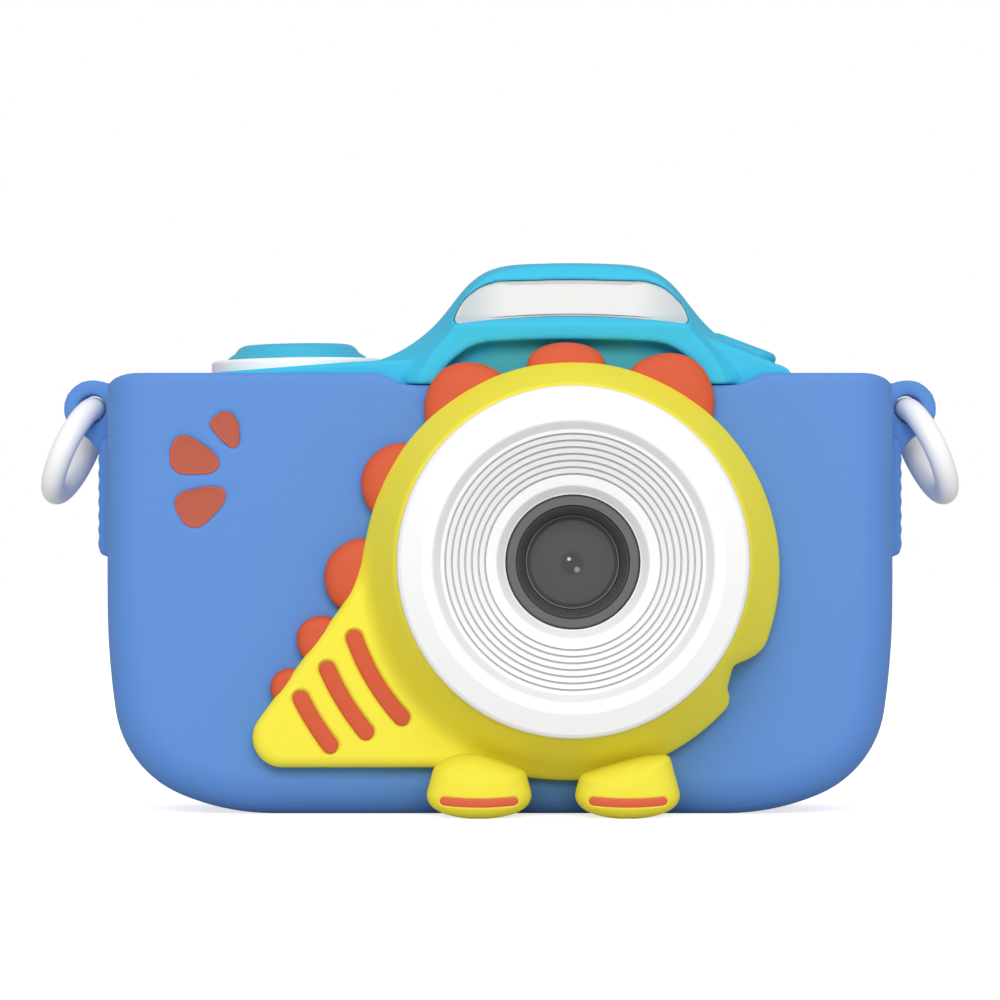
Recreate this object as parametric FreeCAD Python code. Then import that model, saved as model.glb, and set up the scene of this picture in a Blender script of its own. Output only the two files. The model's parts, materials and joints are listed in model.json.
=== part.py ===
import FreeCAD, Part
import math
import os

# Kids digital camera in a silicone dinosaur sleeve.  Millimetres, +Z up,
# front towards -Y, origin at the middle of the footprint on the ground.

V = FreeCAD.Vector

# ---------------------------------------------------------------- sleeve
HALF_W = 48.0            # half width over the sleeve sides
FRONT_Y = -6.0           # front face of the sleeve
BACK_Y = 23.0            # back face of the sleeve
TOP_Z = 53.7             # top edge of the sleeve
SIDE_START_Z = 26.497     # below this height the side starts to curve in
SIDE_R = 96.0            # slow curve of the side
CORNER_R = 13.3          # lower corner
BELLY_R = 29.0           # run-out of the corner into the flat bottom
SIDE_TURN = 8.3          # degrees turned by the slow side curve
CORNER_TURN = 66.9       # degrees turned at the end of the lower corner
SKIN = 1.8               # silicone thickness
SHELL = 1.8              # plastic wall thickness
FIT = 0.1                # gap between sleeve and camera
FRONT_ROUND = 5.0
BACK_ROUND = 4.0
DIP_DEPTH = 1.5
DIP_FLAT = 20.2
DIP_OUTER = 23.5
LIP_WIDTH = 5.0
OPEN_LEFT = -35.6
OPEN_RIGHT = 35.7

# ---------------------------------------------------------------- lens
LENS_X = 8.67
LENS_Z = 30.7
RIM_FRONT_Y = -23.0
RIM_R = 20.9
TUBE_R = 18.0
COLLAR_TOP_Y = -17.5
GROOVES = 7
GROOVE_IN = 10.45           # radius of the innermost groove
GROOVE_OUT = 15.15

# ---------------------------------------------------------------- dinosaur
DINO_Z = 29.8
DINO_R = 25.1
DINO_CONE_R = 21.3
TAIL_Y = -9.5
SPINE_Y = -8.8
BROW_Y = -6.5            # front plane of the hump, just behind the upper spines
FOOT_X = (-2.7, 15.25)
LEAVES = [                  # outlines of the three leaf marks
    [(-35.12, 47.3), (-34.1, 48.6), (-33.2, 48.88), (-32.14, 48.07), (-31.7, 45.9), (-31.87, 44.93),
     (-32.3, 44.63), (-33.4, 45.25), (-34.62, 46.56)],
    [(-39.94, 43.4), (-39.34, 45.45), (-38.64, 45.96), (-37.6, 45.75), (-35.83, 44.66), (-34.5, 43.4),
     (-34.22, 42.5), (-34.75, 41.83), (-36.9, 41.45), (-39.1, 41.72), (-39.72, 42.33)],
    [(-39.34, 37.9), (-39.2, 38.4), (-38.6, 38.93), (-36.9, 39.47), (-34.7, 39.71), (-33.6, 39.35),
     (-33.5, 38.3), (-34.8, 36.5), (-36.58, 35.08), (-37.12, 34.99), (-37.88, 35.24), (-39.0, 36.7)],
]

# ---------------------------------------------------------------- camera body
SPLIT_Z = 50.5           # top cover above, shells below
SPLIT_Y = 9.0            # front shell / rear shell parting
BODY_FRONT = FRONT_Y + SKIN + FIT
BODY_BACK = BACK_Y - SKIN - FIT
PANEL_Y = 22.3           # raised rear panel
BODY_IN = SKIN + FIT     # body outline measured in from the sleeve outline
CAVITY_IN = BODY_IN + SHELL
CAVITY_FRONT = BODY_FRONT + SHELL
CAVITY_BACK = BODY_BACK - SHELL

# ---------------------------------------------------------------- controls
SHUTTER = V(-25.2, 8.0, 55.7)
SHUTTER_TILT = 1.0
POWER = V(30.3, 8.0, 57.7)
POWER_TILT = 20.5
KEY_CENTRE = (-29.5, 29.0)
KEY_STEP = 7.2
EAR = V(50.4, 8.0, 49.7)
EAR_R = 3.54
EAR_HALF = 1.5
EAR_YAW = 10.0
EAR_WAIST_R = 1.57          # narrowest part of the strap hole, at mid thickness
EAR_MOUTH_R = 1.9
RING_MEAN_R = 5.73
RING_TUBE_R = 1.45
RING_TILT = 24.8

# ---------------------------------------------------------------- electronics
BOARD_Y = 11.0
BOARD_T = 1.2
TOP_BOARD_Z = 46.5
LCD_X = 10.0
LCD_Z = 29.0
PORT_Z = 21.0
SPEAKER_X = -34.0
SPEAKER_Z = 12.0
SPEAKER_R = 6.5


# ================================================================ helpers
def box(x0, x1, y0, y1, z0, z1):
    return Part.makeBox(x1 - x0, y1 - y0, z1 - z0, V(x0, y0, z0))


def rod(x, z, r, y0, y1):
    """Round bar along Y."""
    return Part.makeCylinder(r, y1 - y0, V(x, y0, z), V(0, 1, 0))


def post(x, y, r, z0, z1):
    """Round bar along Z."""
    return Part.makeCylinder(r, z1 - z0, V(x, y, z0), V(0, 0, 1))


def polar(cx, cz, r, deg):
    a = math.radians(deg)
    return V(cx + r * math.cos(a), 0, cz + r * math.sin(a))


def arc(cx, cz, r, a0, a1):
    """Arc edge in the XZ plane, angles in degrees from +X."""
    return Part.Arc(polar(cx, cz, r, a0), polar(cx, cz, r, (a0 + a1) / 2.0),
                    polar(cx, cz, r, a1)).toShape()


def line(p, q):
    return Part.makeLine(p, q)


def closed_curve(points):
    """Smooth closed curve through (x, z) points."""
    bow = Part.BSplineCurve()
    bow.interpolate([V(x, 0, z) for x, z in points], PeriodicFlag=True)
    return bow.toShape()


def curve(points):
    """Smooth curve in the XZ plane through (x, z) points."""
    spline = Part.BSplineCurve()
    spline.interpolate([V(x, 0, z) for x, z in points])
    return spline.toShape()


def prism(edges, y0, y1):
    """Extrude a closed XZ outline from y0 to y1."""
    wire = Part.Wire(Part.__sortEdges__(edges))
    face = Part.Face(wire)
    solid = face.extrude(V(0, y1 - y0, 0))
    solid.translate(V(0, y0, 0))
    return solid


def straight(points):
    """Closed run of lines through (x, z) points."""
    ring = [V(x, 0, z) for x, z in points]
    return [line(a, b) for a, b in zip(ring, ring[1:] + ring[:1])]


def rounded_polygon(points, radius):
    """Edges of a closed XZ polygon with rounded corners; a corner may bring its own radius."""
    count = len(points)
    pts = [V(p[0], 0, p[1]) for p in points]
    edges = []
    starts = []
    ends = []
    for i in range(count):
        here = pts[i]
        r = points[i][2] if len(points[i]) > 2 else radius
        back = (pts[i - 1] - here).normalize()
        ahead = (pts[(i + 1) % count] - here).normalize()
        half = back.getAngle(ahead) / 2.0
        reach = r / math.tan(half)
        middle = (back + ahead).normalize()
        centre = here + middle * (r / math.sin(half))
        first = here + back * reach
        last = here + ahead * reach
        edges.append(Part.Arc(first, centre - middle * r, last).toShape())
        starts.append(first)
        ends.append(last)
    for i in range(count):
        edges.append(line(ends[i], starts[(i + 1) % count]))
    return edges


def mirrored(shape):
    return shape.mirror(V(0, 0, 0), V(1, 0, 0))


def fused(shapes):
    result = shapes[0]
    for shape in shapes[1:]:
        result = result.fuse(shape)
    return result.removeSplitter()


def turned(points):
    """Revolve an (r, y) outline about the lens axis."""
    ring = [V(LENS_X + r, y, LENS_Z) for r, y in points]
    ring.append(ring[0])
    face = Part.Face(Part.makePolygon(ring))
    return face.revolve(V(LENS_X, 0, LENS_Z), V(0, 1, 0), 360)


def on_front(edge, y):
    return all(abs(v.Point.y - y) < 1e-6 for v in edge.Vertexes)


def placed(shape, spot, tilt):
    """Put a shape built about the origin at spot, leaning by tilt about Y."""
    out = shape.copy()
    out.rotate(V(0, 0, 0), V(0, 1, 0), tilt)
    out.translate(spot)
    return out


# ================================================================ outlines
def body_outline(inset, top):
    """Camera front outline, moved inwards by inset, flat top at z = top."""
    c1 = V(HALF_W - SIDE_R, 0, SIDE_START_Z)
    c2 = polar(c1.x, c1.z, SIDE_R - CORNER_R, -SIDE_TURN)
    c3 = polar(c2.x, c2.z, CORNER_R - BELLY_R, -CORNER_TURN)
    right = [arc(c1.x, c1.z, SIDE_R - inset, 0, -SIDE_TURN),
             arc(c2.x, c2.z, CORNER_R - inset, -SIDE_TURN, -CORNER_TURN),
             arc(c3.x, c3.z, BELLY_R - inset, -CORNER_TURN, -90)]
    side = HALF_W - inset
    right.append(line(V(side, 0, SIDE_START_Z), V(side, 0, top)))
    left = [mirrored(edge) for edge in right]
    low = right[2].Vertexes[-1].Point
    if abs(right[2].Vertexes[0].Point.z) < abs(low.z):
        low = right[2].Vertexes[0].Point
    floor = line(V(-low.x, 0, low.z), V(low.x, 0, low.z))
    roof = line(V(-side, 0, top), V(side, 0, top))
    return right + left + [floor, roof]


# ================================================================ sleeve
def sleeve_block():
    """Outer silicone block with rounded front and back rims, no cavity yet."""
    block = prism(body_outline(0, TOP_Z), FRONT_Y, BACK_Y)
    for y, r in ((FRONT_Y, FRONT_ROUND), (BACK_Y, BACK_ROUND)):
        rim = [e for e in block.Edges if on_front(e, y) and e.BoundBox.ZMin < TOP_Z - 0.01]
        block = block.makeFillet(r, rim)
    corner = [e for e in block.Edges
              if abs(e.BoundBox.ZMin - TOP_Z) < 1e-3 and abs(e.BoundBox.ZMax - TOP_Z) < 1e-3]
    return block.makeFillet(0.8, corner)


def grip_and_ear():
    """Ribbed side grip with the strap ear above it, right-hand side."""
    pad = prism(rounded_polygon([(HALF_W - 3, 30.7), (HALF_W + 1.45, 31.6),
                                 (HALF_W + 1.45, 46.0), (HALF_W - 3, 46.5)], 0.8), 4.0, 12.0)
    ribs = [rod(HALF_W + 0.75, 33.0 + 1.72 * i, 0.9, 4.0, 12.0) for i in range(7)]
    disc = rod(EAR.x, EAR.z, EAR_R, EAR.y - EAR_HALF, EAR.y + EAR_HALF)
    web = prism(rounded_polygon([(HALF_W - 2.5, 41.0), (HALF_W + 0.6, 41.8), (HALF_W + 1.7, 44.6),
                                 (EAR.x + 1.2, EAR.z - 2.9), (EAR.x + 0.3, EAR.z + 3.3),
                                 (HALF_W - 2.5, 52.6)], 0.5),
                EAR.y - EAR_HALF, EAR.y + EAR_HALF)
    ear = disc.fuse(web)
    for way in (-1, 1):
        ear = ear.cut(Part.makeCone(EAR_WAIST_R, EAR_MOUTH_R, EAR_HALF + 0.1, EAR, V(0, way, 0)))
    ear.rotate(EAR, V(0, 0, 1), EAR_YAW)
    return fused([pad] + ribs + [ear])


def leaf_tools():
    return [prism([closed_curve(points)], FRONT_Y - 1, FRONT_Y + 0.9) for points in LEAVES]


def port_flap_zone(gap):
    return box(40, 52, 4.5 - gap, 16.5 + gap, 14.2 - gap, 28.4 + gap)


def flap_axis():
    return V(46.45, 0, 15.2)


def sleeve_top_cut():
    """Everything above the sleeve's front wall: flat edge with the wide dip for the hump."""
    dip = TOP_Z - DIP_DEPTH
    return prism(straight([(-60, 60), (-60, TOP_Z), (LENS_X - DIP_OUTER, TOP_Z), (LENS_X - DIP_FLAT, dip),
                           (LENS_X + DIP_FLAT, dip), (LENS_X + DIP_OUTER, TOP_Z), (60, TOP_Z), (60, 60)]),
                 FRONT_Y - 1, BODY_FRONT)


def sleeve_solid():
    grip = grip_and_ear()
    sleeve = fused([sleeve_block(), grip, mirrored(grip)])
    cavity = prism(body_outline(SKIN, TOP_Z - SKIN), FRONT_Y + SKIN, BACK_Y - SKIN)
    rims = [e for e in cavity.Edges if on_front(e, FRONT_Y + SKIN) and e.BoundBox.ZMin < 50]
    cavity = cavity.makeFillet(FRONT_ROUND - SKIN, rims)
    rims = [e for e in cavity.Edges if on_front(e, BACK_Y - SKIN) and e.BoundBox.ZMin < 50]
    cavity = cavity.makeFillet(BACK_ROUND - SKIN, rims)
    back_door = prism(body_outline(LIP_WIDTH, TOP_Z - LIP_WIDTH), BACK_Y - SKIN - 1, BACK_Y + 1)
    hatch = box(OPEN_LEFT, OPEN_RIGHT, FRONT_Y + SKIN, BACK_Y - SKIN, TOP_Z - SKIN - 1, TOP_Z + 1)
    bore = rod(LENS_X, LENS_Z, TUBE_R + 0.4, FRONT_Y - 1, FRONT_Y + SKIN + 1)
    for tool in [cavity, back_door, hatch, bore, sleeve_top_cut()] + leaf_tools():
        sleeve = sleeve.cut(tool)
    return sleeve


def leaf_marks():
    return Part.makeCompound([tool.common(box(-50, 0, FRONT_Y, 0, 30, 52)) for tool in leaf_tools()])


def with_port_window(sleeve):
    """Cut the flap out of the side wall and return sleeve and flap."""
    axis = flap_axis()
    flap = sleeve.common(port_flap_zone(0))
    flap = flap.cut(box(40, 52, 0, 20, 10, axis.z + 0.2))
    knuckle = rod(axis.x, axis.z, 0.8, 4.5, 16.5)
    pins = rod(axis.x, axis.z, 0.35, 3.3, 17.7)
    flap = fused([flap, knuckle.fuse(pins)])
    sleeve = sleeve.cut(port_flap_zone(0.3).common(box(40, 52, 0, 20, axis.z, 40)))
    sleeve = sleeve.cut(rod(axis.x, axis.z, 1.1, 4.2, 16.8))
    sleeve = sleeve.cut(box(axis.x, 52, 4.2, 16.8, axis.z - 0.9, axis.z + 1))
    sleeve = sleeve.cut(rod(axis.x, axis.z, 0.42, 3.1, 17.9))
    return sleeve, flap


# ================================================================ dinosaur
def collar_full():
    """Oblique cone round the lens barrel with a rounded base and the bite at lower right."""
    rings = []
    for x, z, r, y in ((LENS_X, DINO_Z, DINO_R - 0.35, FRONT_Y),
                       (LENS_X, DINO_Z, DINO_R, FRONT_Y - 1.6),
                       (LENS_X, DINO_Z, DINO_R - 0.15, FRONT_Y - 3.0)):
        rings.append(Part.Wire(Part.makeCircle(r, V(x, y, z), V(0, -1, 0))))
    base = Part.makeLoft(rings, True, True)
    cone = Part.makeLoft([rings[-1],
                          Part.Wire(Part.makeCircle(DINO_CONE_R, V(LENS_X, COLLAR_TOP_Y, LENS_Z),
                                                    V(0, -1, 0)))], True, True)
    return fused([base, cone])


def tail_plate():
    """Tail running down to the left, straight upper edge, rounded tip, flat lower edge."""
    outline = rounded_polygon([(-15.9, 36.5), (-17.1, 28.2, 24.0), (-33.4, 5.9, 3.6),
                               (LENS_X + 4, 5.9), (LENS_X + 4, 36.5)], 1.7)
    plate = prism(outline, TAIL_Y, FRONT_Y)
    rim = [e for e in plate.Edges if on_front(e, TAIL_Y)]
    return plate.makeFillet(1.4, rim)


def bite():
    """Rounded notch in the collar edge."""
    return prism(rounded_polygon([(LENS_X + 30, 18.0), (LENS_X + 23.6, 19.9), (LENS_X + 19.0, 18.5),
                                  (LENS_X + 18.7, 15.4), (LENS_X + 21.0, 11.0), (LENS_X + 30, 9)], 1.2),
                 FRONT_Y - 20, FRONT_Y + 1)


def dino_full():
    body = fused([collar_full(), tail_plate()])
    body = body.cut(bite())
    return body.cut(rod(LENS_X, LENS_Z, TUBE_R + 0.1, -30, 0))


def stripe(radius, high, low, width, y0, y1):
    """Round-ended band along a circle about the lens axis; angles below horizontal, left side."""
    outer = arc(LENS_X, LENS_Z, radius + width / 2.0, 180 + high, 180 + low)
    inner = arc(LENS_X, LENS_Z, radius - width / 2.0, 180 + high, 180 + low)
    caps = []
    for deg, turn in ((180 + high, -90), (180 + low, 90)):
        c = polar(LENS_X, LENS_Z, radius, deg)
        a = polar(LENS_X, LENS_Z, radius - width / 2.0, deg)
        b = polar(LENS_X, LENS_Z, radius + width / 2.0, deg)
        tip = polar(c.x, c.z, width / 2.0, deg + turn)
        caps.append(Part.Arc(a, tip, b).toShape())
    return prism([outer, inner] + caps, y0, y1)


def tail_stripe_tools():
    return fused([stripe(27.9, 20.0, 41.5, 2.0, TAIL_Y - 3, TAIL_Y + 0.9),
                  stripe(32.2, 23.9, 39.3, 2.0, TAIL_Y - 3, TAIL_Y + 0.9),
                  stripe(36.5, 26.8, 36.9, 2.0, TAIL_Y - 3, TAIL_Y + 0.9)])


def foot_full(x):
    """Bell-shaped toe block, wider at the ground, rounded at the front."""
    edges = rounded_polygon([(x - 6.9, 0), (x + 6.9, 0), (x + 5.2, 7.9), (x - 5.2, 7.9)], 3.2)
    foot = prism(edges, -16.8, FRONT_Y)
    rim = [e for e in foot.Edges if on_front(e, -16.8)]
    return foot.makeFillet(2.2, rim)


def toe_tool(x):
    """Slightly smiling slot across the front of a foot."""
    r = 26.0
    top = arc(x, r + 1.45 + 0.62, r - 0.62, 260.5, 279.5)
    low = arc(x, r + 1.45 + 0.62, r + 0.62, 260.5, 279.5)
    caps = []
    for deg, turn in ((260.5, -90), (279.5, 90)):
        c = polar(x, r + 1.45 + 0.62, r, deg)
        caps.append(Part.Arc(polar(x, r + 1.45 + 0.62, r - 0.62, deg),
                             polar(c.x, c.z, 0.62, deg + turn),
                             polar(x, r + 1.45 + 0.62, r + 0.62, deg)).toShape())
    return prism([top, low] + caps, -20, -15.9)


def spine(cx, cz, lean, half, high, flat, back_y):
    """Rounded fin: straight flanks and a round tip, base at (cx, cz), leaning lean degrees."""
    flank = 32.3
    t = math.tan(math.radians(flank))
    r = (half - flat - t * high) / (1.0 / math.cos(math.radians(flank)) - t)
    side_x = flat + r * math.cos(math.radians(flank))
    side_z = high - r + r * math.sin(math.radians(flank))
    deep = 2.5
    foot_x = half
    edges = [line(V(-side_x, 0, side_z), V(-foot_x, 0, 0)),
             line(V(side_x, 0, side_z), V(foot_x, 0, 0)),
             line(V(-foot_x, 0, 0), V(-foot_x + 1, 0, -deep)),
             line(V(foot_x, 0, 0), V(foot_x - 1, 0, -deep)),
             line(V(-foot_x + 1, 0, -deep), V(foot_x - 1, 0, -deep)),
             arc(-flat, high - r, r, 180 - flank, 90),
             arc(flat, high - r, r, flank, 90)]
    if flat > 0:
        edges.append(line(V(-flat, 0, high), V(flat, 0, high)))
    fin = prism(edges, SPINE_Y, back_y)
    rim = [e for e in fin.Edges if on_front(e, SPINE_Y) and e.BoundBox.ZMax > 0.01]
    fin = fin.makeFillet(1.3, rim)
    fin.rotate(V(0, 0, 0), V(0, 1, 0), lean)
    fin.translate(V(cx, 0, cz))
    return fin


def spines_full():
    """Seven fins round the collar and down the tail; the top three stand in front of the hump."""
    upper = [(-4.2, 50.2, -33, 5.5, 4.7, 0), (8.0, 54.2, 0, 4.75, 3.1, 1.4), (20.8, 51.2, 31.5, 5.7, 4.8, 0)]
    lower = [(-13.2, 40.8, -64, 4.65, 3.5, 0), (-17.9, 29.4, -67, 4.4, 3.3, 0),
             (-22.2, 21.6, -56, 2.9, 2.4, 0), (-26.2, 16.0, -56, 2.15, 1.45, 0)]
    fins = [spine(*row, BROW_Y) for row in upper]
    return fins + [spine(*row, FRONT_Y - 0.2) for row in lower]


# ================================================================ lens
def lens_barrel():
    """Stepped funnel: step, cone with narrow grooves, step, flat rim with an eased outer edge."""
    outline = [(8.05, BODY_FRONT), (8.05, -17.5), (8.2, -17.6), (9.0, -18.8), (9.15, -18.95)]
    pitch = (GROOVE_OUT - GROOVE_IN) / (GROOVES - 1)
    for i in range(GROOVES):
        r = GROOVE_IN + pitch * i
        y = -19.25 - 0.42 * i
        outline += [(r - 0.12, y), (r - 0.03, y + 0.35), (r + 0.07, y + 0.35), (r + 0.12, y - 0.08)]
    outline += [(15.7, -21.95), (16.5, -22.8), (16.75, RIM_FRONT_Y), (18.0, RIM_FRONT_Y),
                (20.4, -22.1), (20.75, -21.75), (RIM_R, -21.2), (RIM_R, -18.7), (20.3, -17.9),
                (19.4, -17.6), (TUBE_R, -17.6), (TUBE_R, BODY_FRONT)]
    return turned(outline)


def lens_inner_ring():
    return turned([(5.7, -11.6), (5.7, -13.2), (6.52, -16.95), (6.62, -17.1), (6.72, -17.1),
                   (6.8, -17.6), (7.75, -17.6), (7.95, -17.3), (7.95, -11.6)])


def lens_cover_glass():
    return turned([(0, -12.2), (0, -13.1), (5.0, -13.1), (5.6, -12.8), (5.6, -12.2)])


def lens_holder():
    """Black lens tube with a stop behind the cover glass and a flange on the front shell."""
    return turned([(1.6, -10.6), (1.6, -11.0), (2.4, -11.5), (7.9, -11.5), (7.9, CAVITY_FRONT + 0.05),
                   (11.0, CAVITY_FRONT + 0.05), (11.0, CAVITY_FRONT + 1.3), (8.4, CAVITY_FRONT + 1.3),
                   (8.4, 5.3), (7.0, 5.3), (7.0, -4.0), (5.0, -4.0), (5.0, -10.6)])


def lens_elements():
    front = turned([(0, -9.0), (0, -10.5), (1.2, -10.3), (2.6, -9.6), (3.9, -8.4), (4.95, -8.4),
                    (4.95, -7.6), (3.0, -7.6)])
    rear = turned([(0, -4.6), (0, -6.6), (2.4, -6.2), (4.0, -5.4), (4.95, -5.4), (4.95, -4.6)])
    return Part.makeCompound([front, rear])


def lens_spacer():
    return turned([(4.0, -5.45), (4.0, -7.55), (4.95, -7.55), (4.95, -5.45)])


# ================================================================ shells
def core_block(y0, y1, inset, top):
    """Camera body solid below the top cover, rounded front and back rims."""
    block = prism(body_outline(inset, top), y0, y1)
    for y, r in ((y0, FRONT_ROUND - inset), (y1, BACK_ROUND - inset)):
        if r > 0.3:
            rim = [e for e in block.Edges if on_front(e, y) and e.BoundBox.ZMin < top - 0.01]
            block = block.makeFillet(r, rim)
    return block


def shell_walls():
    outer = core_block(BODY_FRONT, BODY_BACK, BODY_IN, SPLIT_Z)
    inner = core_block(CAVITY_FRONT, CAVITY_BACK, CAVITY_IN, SPLIT_Z)
    return outer.cut(inner)


SCREW_SPOTS = ((-41.0, 45.3), (41.0, 45.3), (-20.0, 7.1), (20.0, 7.1))
BOARD_SPOTS = ((-10.0, 42.8), (35.5, 36.0), (0.0, 14.0))


def port_slots():
    usb = box(40, 50, 7.7, BOARD_Y + 0.1, PORT_Z - 4.6, PORT_Z + 4.6)
    card = box(40, 50, 12.4, 14.2, PORT_Z - 5.8, PORT_Z + 5.8)
    return usb.fuse(card)


def front_shell():
    shell = shell_walls().common(box(-60, 60, -10, SPLIT_Y, -1, 60))
    adds = [rod(x, z, 2.6, CAVITY_FRONT - 0.1, SPLIT_Y) for x, z in SCREW_SPOTS]
    adds += [rod(x, z, 2.2, CAVITY_FRONT - 0.1, BOARD_Y) for x, z in BOARD_SPOTS]
    shell = fused([shell] + adds)
    shell = shell.common(box(-46.1, 46.1, -10, 20, 1.9, SPLIT_Z))
    for x, z in SCREW_SPOTS:
        shell = shell.cut(rod(x, z, 1.0, 1.5, SPLIT_Y + 1))
    for x, z in BOARD_SPOTS:
        shell = shell.cut(rod(x, z, 0.8, 5.5, BOARD_Y + 1))
    shell = shell.cut(rod(LENS_X, LENS_Z, 8.0, -10, 0))
    return shell.cut(port_slots())


def key_spots():
    x, z = KEY_CENTRE
    return {"key_ok": (x, z, 3.0), "key_up": (x, z + KEY_STEP, 2.5), "key_down": (x, z - KEY_STEP, 2.5),
            "key_left": (x - KEY_STEP, z, 2.5), "key_right": (x + KEY_STEP, z, 2.5),
            "key_menu": (x - 5.6, z + 14.3, 2.3), "key_play": (x + 5.6, z + 14.3, 2.3)}


def rear_shell():
    shell = shell_walls().common(box(-60, 60, SPLIT_Y, 30, -1, 60))
    panel = prism(body_outline(LIP_WIDTH + 0.3, TOP_Z - LIP_WIDTH - 0.3), BODY_BACK - 0.5, PANEL_Y)
    rim = [e for e in panel.Edges if on_front(e, PANEL_Y)]
    panel = panel.makeFillet(0.5, rim)
    adds = [rod(x, z, 2.6, SPLIT_Y, CAVITY_BACK + 0.1) for x, z in SCREW_SPOTS]
    cup = rod(SPEAKER_X, SPEAKER_Z, SPEAKER_R + 0.7, 17.0, CAVITY_BACK + 0.1)
    cup = cup.cut(rod(SPEAKER_X, SPEAKER_Z, SPEAKER_R + 0.1, 16, CAVITY_BACK))
    cup = cup.common(prism(body_outline(CAVITY_IN - 0.1, SPLIT_Z), 16, 20))
    shell = fused([shell, panel, cup] + adds)
    for x, z in SCREW_SPOTS:
        shell = shell.cut(rod(x, z, 1.2, SPLIT_Y - 1, 15))
        shell = shell.cut(rod(x, z, 2.2, 12.5, 30))
    for x, z, r in key_spots().values():
        shell = shell.cut(rod(x, z, r + 0.25, 18, 30))
    shell = shell.cut(box(LCD_X - 24.2, LCD_X + 24.2, 21.0, 30, LCD_Z - 17.2, LCD_Z + 17.2))
    shell = shell.cut(box(LCD_X - 20.6, LCD_X + 20.6, 18, 30, LCD_Z - 15.5, LCD_Z + 15.5))
    for i in range(-2, 3):
        for j in range(-2, 3):
            if i * i + j * j < 7:
                shell = shell.cut(rod(SPEAKER_X + 2.1 * i, SPEAKER_Z + 2.1 * j, 0.6, 18, 30))
    shell = shell.cut(rod(-17.5, 43.3, 0.6, 18, 30))
    shell = shell.cut(rod(-17.5, 12.0, 0.85, 18, 30))
    return shell.cut(port_slots())


# ================================================================ top cover
def cover_profile():
    """Front view of the shoulders: low under the sleeve, raised deck, slope down to the right."""
    return [(46.1, SPLIT_Z), (46.1, 50.8), (45.1, 51.8), (35.6, 51.8), (35.6, 53.6), (34.9, 54.4),
            (25.0, 58.2), (20.0, 58.2), (0.0, 55.9), (-17.5, 55.1), (-34.2, 54.7), (-35.5, 53.4),
            (-35.5, 51.8), (-45.1, 51.8), (-46.1, 50.8), (-46.1, SPLIT_Z)]


def hump_wire(points, y, floor):
    """Closed half-mirrored outline about the lens axis: crown curve, short sides, flat floor."""
    full = [(-u, z) for u, z in points] + [(u, z) for u, z in reversed(points[:-1])]
    crown = curve([(LENS_X + u, z) for u, z in full])
    u, z = points[0]
    low_left = V(LENS_X - u, 0, floor)
    low_right = V(LENS_X + u, 0, floor)
    wire = Part.Wire([crown, line(V(LENS_X + u, 0, z), low_right), line(low_right, low_left),
                      line(low_left, V(LENS_X - u, 0, z))])
    wire.translate(V(0, y, 0))
    return wire


HUMP_FLOOR = TOP_Z - DIP_DEPTH + 0.1
CREASE = [(18.1, 52.9), (17.6, 54.2), (16.2, 56.6), (14.4, 58.8), (13.2, 61.5), (11.0, 64.4),
          (6.0, 66.1), (0, 66.5)]
CROWN = [(26.0, 54.9), (21.6, 56.3), (18.4, 58.3), (15.7, 60.9), (13.1, 64.2), (10.5, 66.3),
         (4.8, 67.35), (0, 67.45)]


def hump():
    """Viewfinder hump: flares from the front arch back to its full outline, then runs straight back."""
    front = Part.makeLoft([hump_wire(CREASE, -6.9, HUMP_FLOOR), hump_wire(CROWN, 1.5, HUMP_FLOOR)],
                          True, True)
    back = Part.Face(hump_wire(CROWN, 1.5, HUMP_FLOOR)).extrude(V(0, BODY_BACK - 1.5, 0))
    return front.fuse(back).removeSplitter()


def side_trim(points):
    """Solid cut across the whole width from a (y, z) outline."""
    ring = [V(-60, y, z) for y, z in points]
    ring.append(ring[0])
    return Part.Face(Part.makePolygon(ring)).extrude(V(120, 0, 0))


def window_edges(grow):
    w = 14.3 + grow
    low = 59.6 - grow * 0.6
    top = 65.05 + grow
    return [Part.Arc(V(LENS_X - w, 0, low), V(LENS_X, 0, low + 1.0), V(LENS_X + w, 0, low)).toShape(),
            Part.Arc(V(LENS_X + w, 0, low), V(LENS_X + w - 1.7, 0, low + 3.4),
                     V(LENS_X + w - 6.6, 0, top - 0.15)).toShape(),
            Part.Arc(V(LENS_X - w + 6.6, 0, top - 0.15), V(LENS_X, 0, top),
                     V(LENS_X + w - 6.6, 0, top - 0.15)).toShape(),
            Part.Arc(V(LENS_X - w, 0, low), V(LENS_X - w + 1.7, 0, low + 3.4),
                     V(LENS_X - w + 6.6, 0, top - 0.15)).toShape()]


FRONT_LEAN = [(-12, 48), (BROW_Y, 48), (BROW_Y, 57.8), (-6.7, 59.6), (-5.4, 60.7), (-3.5, 65.9),
              (-2.4, 67.1), (0.0, 68.0), (0.0, 70), (-12, 70)]
BACK_LEAN = [(21.3, 55.4), (17.8, 65.8), (16.4, 67.1), (14.0, 67.8), (14.0, 70), (30, 70), (30, 55.4)]


def is_ridge(edge):
    """True for the cover's exposed corners: along the deck, across the hump, and its back rim."""
    b = edge.BoundBox
    along = abs(b.YLength - (BODY_BACK - BODY_FRONT)) < 1e-3 and b.ZMin > 53
    across = b.XLength > 15.5 and b.ZLength < 1e-3 and b.ZMin > 57
    behind = b.YMin > 15 and b.ZMax > 65.5
    return along or across or behind


def cover_outer():
    deck = prism(straight(cover_profile()), BODY_FRONT, BODY_BACK)
    deck = deck.common(core_block(BODY_FRONT, BODY_BACK, BODY_IN, 60))
    cover = fused([deck, hump()]).cut(side_trim(FRONT_LEAN)).cut(side_trim(BACK_LEAN))
    return cover.makeFillet(0.5, [e for e in cover.Edges if is_ridge(e)])


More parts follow.
